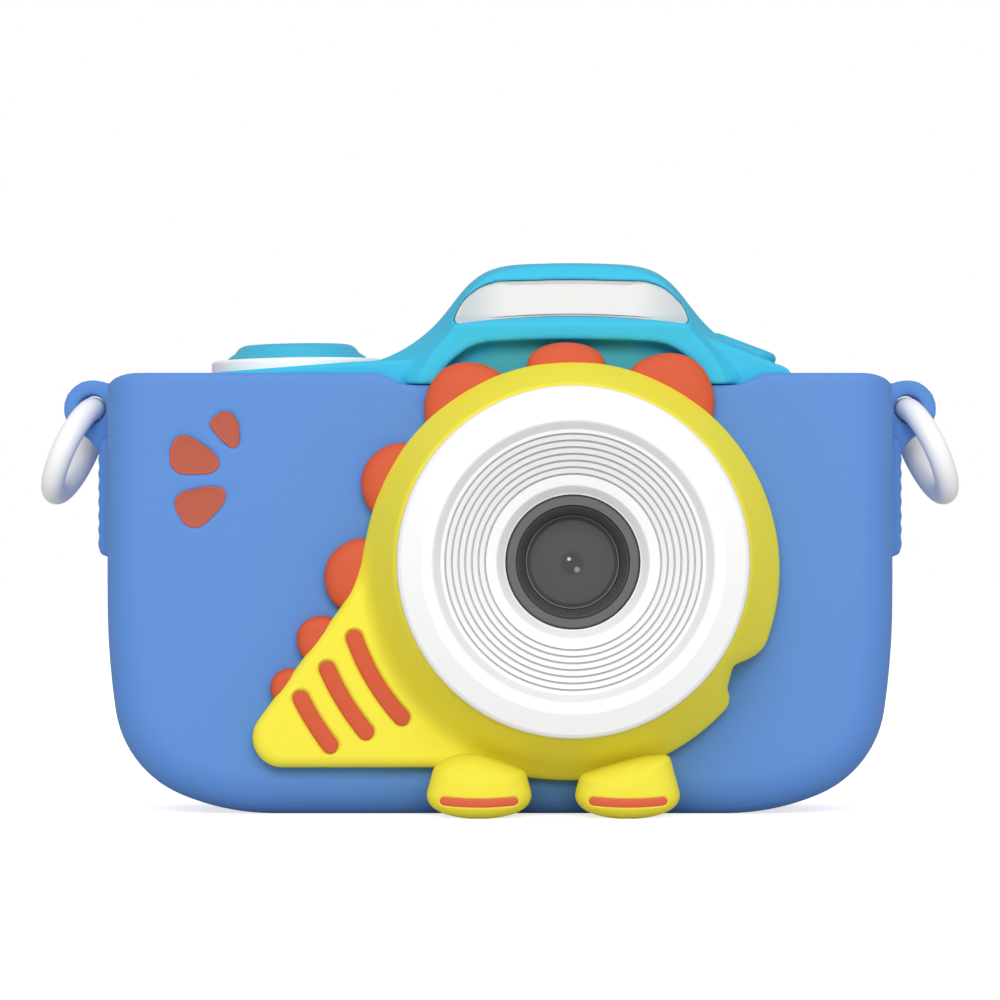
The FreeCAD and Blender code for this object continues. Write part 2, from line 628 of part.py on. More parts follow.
def recess_tool():
    """Shadowed hollow under the brow, its roof leaning back."""
    half = [(16.4, 51.9), (15.6, 54.2), (14.1, 55.8), (12.3, 57.0), (8.5, 57.7), (0, 57.85)]
    mouth = hump_wire(half, -8.0, 51.5)
    inner = hump_wire([(u * 0.96, 51.9 + (z - 51.9) * 0.93) for u, z in half], -3.0, 51.5)
    return Part.makeLoft([mouth, inner], True, True)


def cover_cavity():
    deck = [(-33.6, 50), (-33.6, 52.2), (-32.8, 53.0), (-16.0, 53.4), (24.0, 53.4), (24.6, 56.2),
            (33.6, 52.6), (33.6, 50)]
    crown = [(-13.5, 53.0), (-11.2, 54.4), (-7.4, 57.4), (-4.7, 61.0), (-2.5, 63.9), (0.4, 65.2),
             (16.9, 65.2), (19.8, 63.9), (22.0, 61.0), (24.0, 56.6), (24.0, 53.0)]
    low = prism(straight(deck), 0.8, CAVITY_BACK)
    return low.fuse(prism(straight(crown), 0.8, 15.4))


def shutter_tools():
    """Seat, bore and stop pocket of the shutter button in the cover, in the button's own frame."""
    seat = post(0, 0, 10.65, -1.6, 3)
    bore = post(0, 0, 8.95, -12, 3)
    pocket = post(0, 0, 10.1, -12, -2.8).common(box(-8.6, 8.6, -11, 11, -12, 0))
    tool = fused([seat, bore, pocket])
    return placed(tool, SHUTTER, -SHUTTER_TILT)


def power_tools():
    bore = Part.makeBox(9.0, 10.5, 12, V(-4.5, -5.25, -10))
    bore = bore.makeFillet(2.25, [e for e in bore.Edges if abs(e.Length - 12) < 1e-6])
    pocket = box(-4.6, 4.6, -6.4, 6.4, -10, -3.1)
    return placed(bore.fuse(pocket), POWER, POWER_TILT)


COVER_POSTS = ((-10.0, 5.0), (20.0, 5.0))


def top_cover():
    outer = cover_outer()
    posts = [post(x, y, 2.2, 47.7, 66).common(fused([outer, box(-40, 40, -3, 19, 47.7, 52)]))
             for x, y in COVER_POSTS]
    cover = outer.cut(cover_cavity()).cut(recess_tool())
    cover = cover.cut(shutter_tools()).cut(power_tools())
    tabs = [box(x, x + 6, CAVITY_FRONT + 0.1, -0.9, 47.6, 51.0) for x in (-28.0, 26.0)]
    cover = fused([cover] + posts + tabs)
    for x, y in COVER_POSTS:
        cover = cover.cut(post(x, y, 1.0, 40, 53))
    cover = cover.cut(prism(window_edges(0.08), -12, -1.8))
    return cover.cut(prism(window_edges(-1.2), -3, 1.5))


def flash_window():
    """Clear window with a raised inner face, following the lean of the hump."""
    rim = prism(window_edges(0), -5.2, -1.8)
    tips = [e for e in rim.Edges if abs(e.Length - 3.4) < 1e-6 and e.BoundBox.ZMax < 60]
    rim = rim.makeFillet(0.5, tips)
    face = prism(window_edges(-0.5), -5.2, -1.8)
    rim_lean = side_trim([(y + 0.65, z) for y, z in FRONT_LEAN[3:]])
    face_lean = side_trim([(y + 0.35, z) for y, z in FRONT_LEAN[3:]])
    return rim.cut(rim_lean).fuse(face.cut(face_lean)).removeSplitter()


def flash_reflector():
    block = box(LENS_X - 8.7, LENS_X + 8.7, 0.8, 5.8, 60.2, 64.6)
    mouth = Part.makePolygon([V(LENS_X - 8.0, 0.8, 60.8), V(LENS_X + 8.0, 0.8, 60.8),
                              V(LENS_X + 8.0, 0.8, 64.0), V(LENS_X - 8.0, 0.8, 64.0),
                              V(LENS_X - 8.0, 0.8, 60.8)])
    throat = Part.makePolygon([V(LENS_X - 2.2, 5.8, 61.2), V(LENS_X + 2.2, 5.8, 61.2),
                               V(LENS_X + 2.2, 5.8, 63.6), V(LENS_X - 2.2, 5.8, 63.6),
                               V(LENS_X - 2.2, 5.8, 61.2)])
    return block.cut(Part.makeLoft([mouth, throat], True, True))


def flash_led():
    base = box(LENS_X - 1.75, LENS_X + 1.75, 5.1, 5.8, 61.4, 63.4)
    return base.fuse(rod(LENS_X, 62.4, 0.8, 4.7, 5.2)).removeSplitter()


def flash_board():
    return box(LENS_X - 9.0, LENS_X + 9.0, 5.8, 6.8, 59.6, 64.8)


# ================================================================ controls
def shutter_bezel():
    ring = post(0, 0, 10.6, -1.6, 0).cut(post(0, 0, 8.85, -3, 1))
    edge = [e for e in ring.Edges if abs(e.BoundBox.ZMin) < 1e-6 and e.BoundBox.XMax > 10]
    return placed(ring.makeFillet(0.45, edge), SHUTTER, -SHUTTER_TILT)


def shutter_button():
    cap = post(0, 0, 8.6, -3.6, 1.9)
    edge = [e for e in cap.Edges if e.BoundBox.ZMin > 1.8]
    cap = cap.makeFillet(1.7, edge)
    wings = post(0, 0, 9.7, -3.6, -2.85).common(box(-8.3, 8.3, -11, 11, -5, 0))
    hollow = post(0, 0, 7.0, -4, 0.2)
    stem = post(0, 0, 2.0, -4.45, 0.4)
    button = fused([fused([cap, wings]).cut(hollow), stem])
    return placed(button, SHUTTER, -SHUTTER_TILT)


def power_button():
    pad = Part.makeBox(8.5, 10.0, 3.9, V(-4.25, -5.0, -3.9))
    pad = pad.makeFillet(2.0, [e for e in pad.Edges if abs(e.Length - 3.9) < 1e-6])
    pad = pad.makeFillet(0.7, [e for e in pad.Edges if e.BoundBox.ZMin > -1e-6])
    wings = box(-4.25, 4.25, -6.0, 6.0, -3.9, -3.15)
    stem = post(0, 0, 1.5, -5.45, -3.8)
    tip = Part.makeSphere(1.5, V(0, 0, -5.45))
    return placed(fused([pad, wings, stem, tip]), POWER, POWER_TILT)


def key(x, z, r):
    cap = rod(x, z, r, 18.45, 22.95)
    rim = [e for e in cap.Edges if on_front(e, 22.95)]
    cap = cap.makeFillet(0.6, rim)
    return fused([cap, rod(x, z, r + 0.7, 18.45, 19.25), rod(x, z, 1.2, 16.45, 18.6)])


def strap_ring():
    """Hanging ring through the right-hand ear, leaning outwards, ear's yaw applied."""
    ring = Part.makeTorus(RING_MEAN_R, RING_TUBE_R, V(0, 0, -RING_MEAN_R), V(1, 0, 0))
    ring.rotate(V(0, 0, 0), V(0, 1, 0), -RING_TILT)
    ring.rotate(V(0, 0, 0), V(0, 0, 1), EAR_YAW)
    ring.translate(EAR)
    return ring


# ================================================================ electronics
def main_board():
    board = box(-38.0, 38.0, BOARD_Y, BOARD_Y + BOARD_T, 10.4, 46.2)
    board = board.fuse(box(37, 43.2, BOARD_Y, BOARD_Y + BOARD_T, 15.2, 29.0)).removeSplitter()
    for x, z in BOARD_SPOTS:
        board = board.cut(rod(x, z, 1.1, 10, 13))
    return board


def screw(x, z, head_y, length, head_r):
    """Pan-head screw driven from the back, cross slot in the head."""
    head = rod(x, z, head_r, head_y, head_y + 1.2)
    slot = box(x - 0.25, x + 0.25, head_y + 0.6, head_y + 2, z - 1.1, z + 1.1)
    cross = box(x - 1.1, x + 1.1, head_y + 0.6, head_y + 2, z - 0.25, z + 0.25)
    return fused([head, rod(x, z, 0.95, head_y - length, head_y)]).cut(slot).cut(cross)


def shell_screws():
    return Part.makeCompound([screw(x, z, 12.5, 9.0, 2.0) for x, z in SCREW_SPOTS])


def board_screws():
    return Part.makeCompound([screw(x, z, BOARD_Y + BOARD_T, 0, 1.8).fuse(
        rod(x, z, 0.75, BOARD_Y - 5, BOARD_Y + BOARD_T + 0.1)).removeSplitter() for x, z in BOARD_SPOTS])


def top_board():
    board = box(-33.0, 33.0, -0.8, 15.5, TOP_BOARD_Z, TOP_BOARD_Z + BOARD_T)
    for x, y in COVER_POSTS:
        board = board.cut(post(x, y, 1.1, 40, 50))
    return board


def cover_screws():
    parts = []
    for x, y in COVER_POSTS:
        head = post(x, y, 1.9, TOP_BOARD_Z - 1.2, TOP_BOARD_Z)
        slot = box(x - 0.25, x + 0.25, y - 1.1, y + 1.1, TOP_BOARD_Z - 2, TOP_BOARD_Z - 0.6)
        parts.append(fused([head, post(x, y, 0.95, TOP_BOARD_Z, 52)]).cut(slot))
    return Part.makeCompound(parts)


def board_header():
    return box(18.0, 30.0, 8.5, BOARD_Y, 43.6, TOP_BOARD_Z)


def board_chips():
    rear = BOARD_Y + BOARD_T
    return Part.makeCompound([box(2.7, 14.7, BOARD_Y - 1.2, BOARD_Y, 24.7, 36.7),
                              box(18.0, 26.0, BOARD_Y - 1.0, BOARD_Y, 26.0, 36.0),
                              box(-4.0, 6.0, rear, rear + 1.0, 30.0, 38.0),
                              box(12.0, 16.0, rear, rear + 1.8, 34.0, 38.0),
                              box(-18.3, -16.7, rear, rear + 0.7, 11.2, 12.8),
                              box(-9.0, -3.0, BOARD_Y - 1.0, BOARD_Y, 16.0, 20.0)])


def tact_switches():
    rear = BOARD_Y + BOARD_T
    parts = []
    for x, z, _r in key_spots().values():
        can = box(x - 2.25, x + 2.25, rear, rear + 3.0, z - 2.25, z + 2.25)
        parts.append(fused([can, rod(x, z, 1.0, rear + 2.9, rear + 3.6)]))
    return Part.makeCompound(parts)


def top_switches():
    """Switches under the shutter button and the power button."""
    z = TOP_BOARD_Z + BOARD_T
    parts = []
    for x in (SHUTTER.x, POWER.x - 2.1):
        can = box(x - 3, x + 3, 5, 11, z, z + 2.0)
        parts.append(fused([can, post(x, 8.0, 1.6, z + 1.9, z + 2.5)]))
    return Part.makeCompound(parts)


def usb_socket():
    can = box(36.5, 45.2, 7.8, BOARD_Y, PORT_Z - 4.47, PORT_Z + 4.47)
    can = can.makeFillet(1.1, [e for e in can.Edges if abs(e.Length - 8.7) < 1e-6])
    mouth = box(38.0, 46, 8.2, BOARD_Y - 0.4, PORT_Z - 4.05, PORT_Z + 4.05)
    mouth = mouth.makeFillet(0.8, [e for e in mouth.Edges if abs(e.Length - 8.0) < 1e-6])
    tongue = box(37.9, 44.2, 9.1, 9.7, PORT_Z - 3.3, PORT_Z + 3.3)
    return fused([can.cut(mouth), tongue])


def card_socket():
    y = BOARD_Y + BOARD_T
    can = box(29.4, 43.2, y, y + 1.8, PORT_Z - 6.6, PORT_Z + 6.6)
    return can.cut(box(30.4, 44, y + 0.4, y + 1.4, PORT_Z - 5.6, PORT_Z + 5.6))


def memory_card():
    y = BOARD_Y + BOARD_T + 0.45
    card = box(30.45, 45.0, y, y + 0.9, PORT_Z - 5.5, PORT_Z + 5.5)
    return card.cut(box(30, 32.2, y - 1, y + 2, PORT_Z + 3.8, PORT_Z + 6))


def image_sensor():
    return box(LENS_X - 4.0, LENS_X + 4.0, 4.6, 5.5, LENS_Z - 4.0, LENS_Z + 4.0)


def sensor_board():
    return box(LENS_X - 9.0, LENS_X + 9.0, 5.5, 6.5, LENS_Z - 9.0, LENS_Z + 9.0)


def strip(points, x0, x1, t):
    """Flat ribbon of thickness t through (y, z) points."""
    parts = []
    for (y0, z0), (y1, z1) in zip(points[:-1], points[1:]):
        length = math.hypot(y1 - y0, z1 - z0)
        slab = Part.makeBox(x1 - x0, length + t, t, V(x0, -t / 2.0, -t / 2.0))
        slab.rotate(V(0, 0, 0), V(1, 0, 0), math.degrees(math.atan2(z1 - z0, y1 - y0)))
        slab.translate(V(0, y0, z0))
        parts.append(slab)
    return fused(parts)


def ribbon_cables():
    """Flat cables from the image sensor and from the screen to the main board."""
    sensor = strip([(6.62, 24.0), (6.62, 19.0), (8.5, 17.0), (10.4, 17.0), (10.85, 18.5), (10.85, 20.5)],
                   12.0, 18.0, 0.2)
    screen = strip([(18.0, 12.0), (18.0, 10.9), (14.4, 10.9), (12.35, 12.6), (12.35, 17.0)],
                   5.0, 15.0, 0.2)
    return Part.makeCompound([sensor, screen])


def battery():
    cell = box(-42.0, -12.5, -1.9, 4.1, 14.8, 40.4)
    cell = cell.makeFillet(1.4, [e for e in cell.Edges if abs(e.Length - 29.5) < 1e-6
                                 or abs(e.Length - 25.6) < 1e-6])
    return cell


def battery_pad():
    return box(-40.0, -14.5, CAVITY_FRONT, -1.9, 17.0, 38.5)


def lead(points, r):
    """Insulated wire through the given points."""
    pts = [V(*p) for p in points]
    parts = []
    for a, b in zip(pts[:-1], pts[1:]):
        parts.append(Part.makeCylinder(r, (b - a).Length, a, b - a))
    for p in pts[1:-1]:
        parts.append(Part.makeSphere(r, p))
    return fused(parts)


def battery_lead():
    plug = box(-23.0, -17.0, 8.6, BOARD_Y, 39.6, 43.0)
    wires = [lead([(x, 2.0, 40.5), (x, 2.0, 41.8), (x, 8.6, 41.8)], 0.45) for x in (-21.2, -18.8)]
    return Part.makeCompound([fused([plug] + wires)])


def speaker():
    return fused([rod(SPEAKER_X, SPEAKER_Z, SPEAKER_R, 16.6, 19.2),
                  rod(SPEAKER_X, SPEAKER_Z, 4.4, 14.4, 16.7)])


def thin_leads():
    """Two wires from the speaker to the main board and two from the flash board to the top board."""
    rear = BOARD_Y + BOARD_T
    z = SPEAKER_Z + 5.4
    wires = [lead([(x, 16.6, z), (x, 14.4, z), (x, 14.4, z + 2.6), (x, rear, z + 2.6)], 0.4)
             for x in (SPEAKER_X - 0.7, SPEAKER_X + 0.7)]
    wires += [lead([(x, 6.8, 61.0), (x, 9.5, 61.0), (x, 9.5, TOP_BOARD_Z + BOARD_T)], 0.4)
              for x in (5.5, 7.0)]
    return Part.makeCompound(wires)


def microphone():
    return rod(-17.5, 43.3, 2.0, BOARD_Y + BOARD_T, 13.8)


def mic_boot():
    return rod(-17.5, 43.3, 2.4, 13.8, CAVITY_BACK).cut(rod(-17.5, 43.3, 1.0, 13, 20))


def lcd_frame():
    tray = box(LCD_X - 24.0, LCD_X + 24.0, 15.9, CAVITY_BACK, LCD_Z - 17.3, LCD_Z + 17.3)
    tray = tray.cut(box(LCD_X - 23.5, LCD_X + 23.5, 16.7, 20, LCD_Z - 16.8, LCD_Z + 16.8))
    tray = tray.cut(box(LCD_X - 15, LCD_X + 15, 15, 17, LCD_Z - 9, LCD_Z + 9))
    return tray.cut(box(4.5, 15.5, 15, 20, LCD_Z - 18, LCD_Z - 16.7))


def lcd_panel():
    return box(LCD_X - 23.4, LCD_X + 23.4, 16.7, 19.2, LCD_Z - 16.7, LCD_Z + 16.7)


def screen_window():
    glass = box(LCD_X - 24.1, LCD_X + 24.1, 21.0, 22.2, LCD_Z - 17.1, LCD_Z + 17.1)
    return glass.makeFillet(0.3, [e for e in glass.Edges if on_front(e, 22.2)])


def status_light():
    return rod(-17.5, 12.0, 0.8, 13.0, 22.35)


# ================================================================ assembly
def build():
    dino = dino_full()
    stripes = tail_stripe_tools()
    toes = [toe_tool(x) for x in FOOT_X]
    feet = [foot_full(x).cut(dino) for x in FOOT_X]
    sleeve, flap = with_port_window(sleeve_solid())
    nodes = {
        "silicone_sleeve": sleeve,
        "port_flap": flap,
        "dino_body": dino.cut(stripes),
        "dino_spines": Part.makeCompound([fin.cut(dino) for fin in spines_full()]),
        "tail_stripes": stripes.common(dino),
        "foot_left": feet[0].cut(toes[0]),
        "foot_right": feet[1].cut(toes[1]),
        "toe_stripes": Part.makeCompound([feet[i].common(toes[i]) for i in (0, 1)]),
        "leaf_marks": leaf_marks(),
        "top_cover": top_cover(),
        "front_shell": front_shell(),
        "rear_shell": rear_shell(),
        "shutter_bezel": shutter_bezel(),
        "shutter_button": shutter_button(),
        "power_button": power_button(),
        "flash_window": flash_window(),
        "flash_reflector": flash_reflector(),
        "flash_led": flash_led(),
        "flash_board": flash_board(),
        "lens_barrel": lens_barrel(),
        "lens_inner_ring": lens_inner_ring(),
        "lens_cover_glass": lens_cover_glass(),
        "lens_holder": lens_holder(),
        "lens_elements": lens_elements(),
        "lens_spacer": lens_spacer(),
        "image_sensor": image_sensor(),
        "sensor_board": sensor_board(),
        "ribbon_cables": ribbon_cables(),
        "main_board": main_board(),
        "board_chips": board_chips(),
        "top_board": top_board(),
        "board_header": board_header(),
        "tact_switches": tact_switches(),
        "top_switches": top_switches(),
        "usb_socket": usb_socket(),
        "card_socket": card_socket(),
        "memory_card": memory_card(),
        "battery": battery(),
        "battery_pad": battery_pad(),
        "battery_lead": battery_lead(),
        "speaker": speaker(),
        "thin_leads": thin_leads(),
        "microphone": microphone(),
        "mic_boot": mic_boot(),
        "lcd_panel": lcd_panel(),
        "lcd_frame": lcd_frame(),
        "screen_window": screen_window(),
        "status_light": status_light(),
        "shell_screws": shell_screws(),
        "board_screws": board_screws(),
        "cover_screws": cover_screws(),
        "strap_ring_left": mirrored(strap_ring()),
        "strap_ring_right": strap_ring(),
    }
    for name, (x, z, r) in key_spots().items():
        nodes[name] = key(x, z, r)
    return nodes


os.makedirs("parts", exist_ok=True)
for node, shape in build().items():
    shape.exportStep("parts/" + node + ".step")
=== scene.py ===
"""Looks of the kids digital camera: materials, soft pieces, floor, light and camera."""
import json
import math

import bmesh
import bpy
import numpy as np
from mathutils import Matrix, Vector


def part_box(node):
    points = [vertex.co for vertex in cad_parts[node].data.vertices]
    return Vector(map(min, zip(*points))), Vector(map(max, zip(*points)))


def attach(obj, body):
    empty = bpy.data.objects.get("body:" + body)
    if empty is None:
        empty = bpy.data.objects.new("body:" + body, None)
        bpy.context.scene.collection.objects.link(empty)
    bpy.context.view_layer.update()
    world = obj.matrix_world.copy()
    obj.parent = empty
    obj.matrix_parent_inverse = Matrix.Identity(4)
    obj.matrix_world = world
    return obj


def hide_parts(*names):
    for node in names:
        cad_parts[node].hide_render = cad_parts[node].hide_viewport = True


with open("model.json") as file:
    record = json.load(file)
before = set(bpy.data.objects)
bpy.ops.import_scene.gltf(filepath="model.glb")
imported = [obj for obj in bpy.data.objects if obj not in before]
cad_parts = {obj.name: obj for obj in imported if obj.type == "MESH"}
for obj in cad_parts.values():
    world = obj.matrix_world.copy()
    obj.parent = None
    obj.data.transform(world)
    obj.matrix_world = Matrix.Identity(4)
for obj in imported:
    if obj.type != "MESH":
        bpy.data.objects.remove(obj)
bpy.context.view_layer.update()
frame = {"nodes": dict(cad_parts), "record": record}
nodes = frame["nodes"]
record = frame["record"]
node_slot = {part["node"]: part["material_slot"] for part in record["subparts"]}
MM = 0.001


# ---------------------------------------------------------------- materials
def srgb(r, g, b):
    """8-bit screen colour to scene-linear."""
    def one(c):
        c /= 255.0
        return c / 12.92 if c <= 0.04045 else ((c + 0.055) / 1.055) ** 2.4
    return (one(r), one(g), one(b), 1.0)


def moulded(name, colour, rough=0.5, grain=0.0, grain_scale=900.0, mottle=0.04, peel=0.0,
            specular=0.5, sheen=0.0, coat=0.0, metallic=0.0, transmission=0.0, ior=1.5, painted_glow=0.0,
            brushed=None):
    """Moulded surface: faint mottling, uneven gloss, fine grain and a slower orange peel in the bump;
    painted_glow gives it a faint painted glow in its own colour.
    """
    mat = bpy.data.materials.new(name)
    mat.use_nodes = True
    tree = mat.node_tree
    links = tree.links
    shader = tree.nodes["Principled BSDF"]
    shader.inputs["Specular IOR Level"].default_value = specular
    shader.inputs["IOR"].default_value = ior
    shader.inputs["Metallic"].default_value = metallic
    shader.inputs["Sheen Weight"].default_value = sheen
    shader.inputs["Sheen Roughness"].default_value = 0.4
    shader.inputs["Coat Weight"].default_value = coat
    shader.inputs["Coat Roughness"].default_value = 0.08
    shader.inputs["Transmission Weight"].default_value = transmission
    if painted_glow:
        shader.inputs["Emission Color"].default_value = colour
        shader.inputs["Emission Strength"].default_value = painted_glow
    where = tree.nodes.new("ShaderNodeTexCoord")
    place = where.outputs["Object"]
    if brushed:
        stretch = tree.nodes.new("ShaderNodeMapping")
        stretch.inputs["Scale"].default_value = brushed
        links.new(place, stretch.inputs["Vector"])
        place = stretch.outputs["Vector"]

    def noise(scale, detail):
        node = tree.nodes.new("ShaderNodeTexNoise")
        node.inputs["Scale"].default_value = scale
        node.inputs["Detail"].default_value = detail
        links.new(place, node.inputs["Vector"])
        return node.outputs["Fac"]

    slow = noise(60.0, 3.0)
    shade = tree.nodes.new("ShaderNodeMixRGB")
    shade.inputs["Color1"].default_value = tuple(c * (1 - mottle) for c in colour[:3]) + (1,)
    shade.inputs["Color2"].default_value = tuple(min(1, c * (1 + mottle)) for c in colour[:3]) + (1,)
    links.new(slow, shade.inputs["Fac"])
    links.new(shade.outputs["Color"], shader.inputs["Base Color"])
    gloss = tree.nodes.new("ShaderNodeMapRange")
    gloss.inputs["To Min"].default_value = max(0.02, rough - 0.06)
    gloss.inputs["To Max"].default_value = min(1.0, rough + 0.06)
    links.new(noise(240.0, 4.0), gloss.inputs["Value"])
    links.new(gloss.outputs["Result"], shader.inputs["Roughness"])
    normal = None
    for strength, scale in ((peel, 260.0), (grain, grain_scale)):
        if strength:
            bump = tree.nodes.new("ShaderNodeBump")
            bump.inputs["Strength"].default_value = strength
            bump.inputs["Distance"].default_value = 0.0002
            links.new(noise(scale, 2.0), bump.inputs["Height"])
            if normal:
                links.new(normal, bump.inputs["Normal"])
            normal = bump.outputs["Normal"]
    if normal:
        links.new(normal, shader.inputs["Normal"])
    return mat


def marked(mat, marks):
    """Round marks (centre in mm, radius, softness, colour) laid over a material, later ones on top."""
    tree = mat.node_tree
    shader = tree.nodes["Principled BSDF"]
    where = tree.nodes.new("ShaderNodeTexCoord")
    under = shader.inputs["Base Color"].links[0].from_socket
    for centre, radius, soft, colour in marks:
        away = tree.nodes.new("ShaderNodeVectorMath")
        away.operation = "DISTANCE"
        away.inputs[1].default_value = tuple(c * MM for c in centre)
        tree.links.new(where.outputs["Object"], away.inputs[0])
        inside = tree.nodes.new("ShaderNodeMapRange")
        inside.inputs["From Min"].default_value = (radius + soft) * MM
        inside.inputs["From Max"].default_value = (radius - soft) * MM
        tree.links.new(away.outputs["Value"], inside.inputs["Value"])
        over = tree.nodes.new("ShaderNodeMixRGB")
        over.inputs["Color2"].default_value = colour
        tree.links.new(inside.outputs["Result"], over.inputs["Fac"])
        tree.links.new(under, over.inputs["Color1"])
        under = over.outputs["Color"]
    tree.links.new(under, shader.inputs["Base Color"])
    return mat


def painted(mat, value, start, stop, colour):
    """Blend towards colour while the value socket runs from start to stop."""
    tree = mat.node_tree
    shader = tree.nodes["Principled BSDF"]
    share = tree.nodes.new("ShaderNodeMapRange")
    share.interpolation_type = "SMOOTHSTEP"
    share.inputs["From Min"].default_value = start
    share.inputs["From Max"].default_value = stop
    tree.links.new(value, share.inputs["Value"])
    over = tree.nodes.new("ShaderNodeMixRGB")
    over.inputs["Color2"].default_value = colour
    tree.links.new(shader.inputs["Base Color"].links[0].from_socket, over.inputs["Color1"])
    tree.links.new(share.outputs["Result"], over.inputs["Fac"])
    tree.links.new(over.outputs["Color"], shader.inputs["Base Color"])
    return mat


def sums(mat, socket, steps):
    """Chain of one-constant maths steps on a socket."""
    tree = mat.node_tree
    for operation, constant in steps:
        node = tree.nodes.new("ShaderNodeMath")
        node.operation = operation
        node.inputs[1].default_value = constant
        tree.links.new(socket, node.inputs[0])
        socket = node.outputs["Value"]
    return socket


def joined(mat, operation, first, second):
    """One maths step on two sockets."""
    node = mat.node_tree.nodes.new("ShaderNodeMath")
    node.operation = operation
    mat.node_tree.links.new(first, node.inputs[0])
    mat.node_tree.links.new(second, node.inputs[1])
    return node.outputs["Value"]


def along(mat, axis):
    """Position along an axis vector, in mm."""
    tree = mat.node_tree
    where = tree.nodes.new("ShaderNodeTexCoord")
    dot = tree.nodes.new("ShaderNodeVectorMath")
    dot.operation = "DOT_PRODUCT"
    dot.inputs[1].default_value = tuple(c / MM for c in axis)
    tree.links.new(where.outputs["Object"], dot.inputs[0])
    return dot.outputs["Value"]


def from_axis(mat):
    """Distance from the lens axis, in mm."""
    tree = mat.node_tree
    where = tree.nodes.new("ShaderNodeTexCoord")
    flat = tree.nodes.new("ShaderNodeVectorMath")
    flat.operation = "MULTIPLY"
    flat.inputs[1].default_value = (1 / MM, 0, 1 / MM)
    tree.links.new(where.outputs["Object"], flat.inputs[0])
    away = tree.nodes.new("ShaderNodeVectorMath")
    away.operation = "DISTANCE"
    away.inputs[1].default_value = (LENS_X, 0, LENS_Z)
    tree.links.new(flat.outputs["Vector"], away.inputs[0])
    return away.outputs["Value"]


BLUE = srgb(90, 138, 207)
YELLOW = srgb(234, 222, 68)
ORANGE = srgb(205, 87, 54)
CYAN = srgb(67, 187, 221)
WHITE = srgb(246, 245, 244)
low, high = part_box("lens_barrel")
LENS_X = (low.x + high.x) / 2 / MM
LENS_Z = (low.z + high.z) / 2 / MM
GLASS_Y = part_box("lens_cover_glass")[0].y / MM

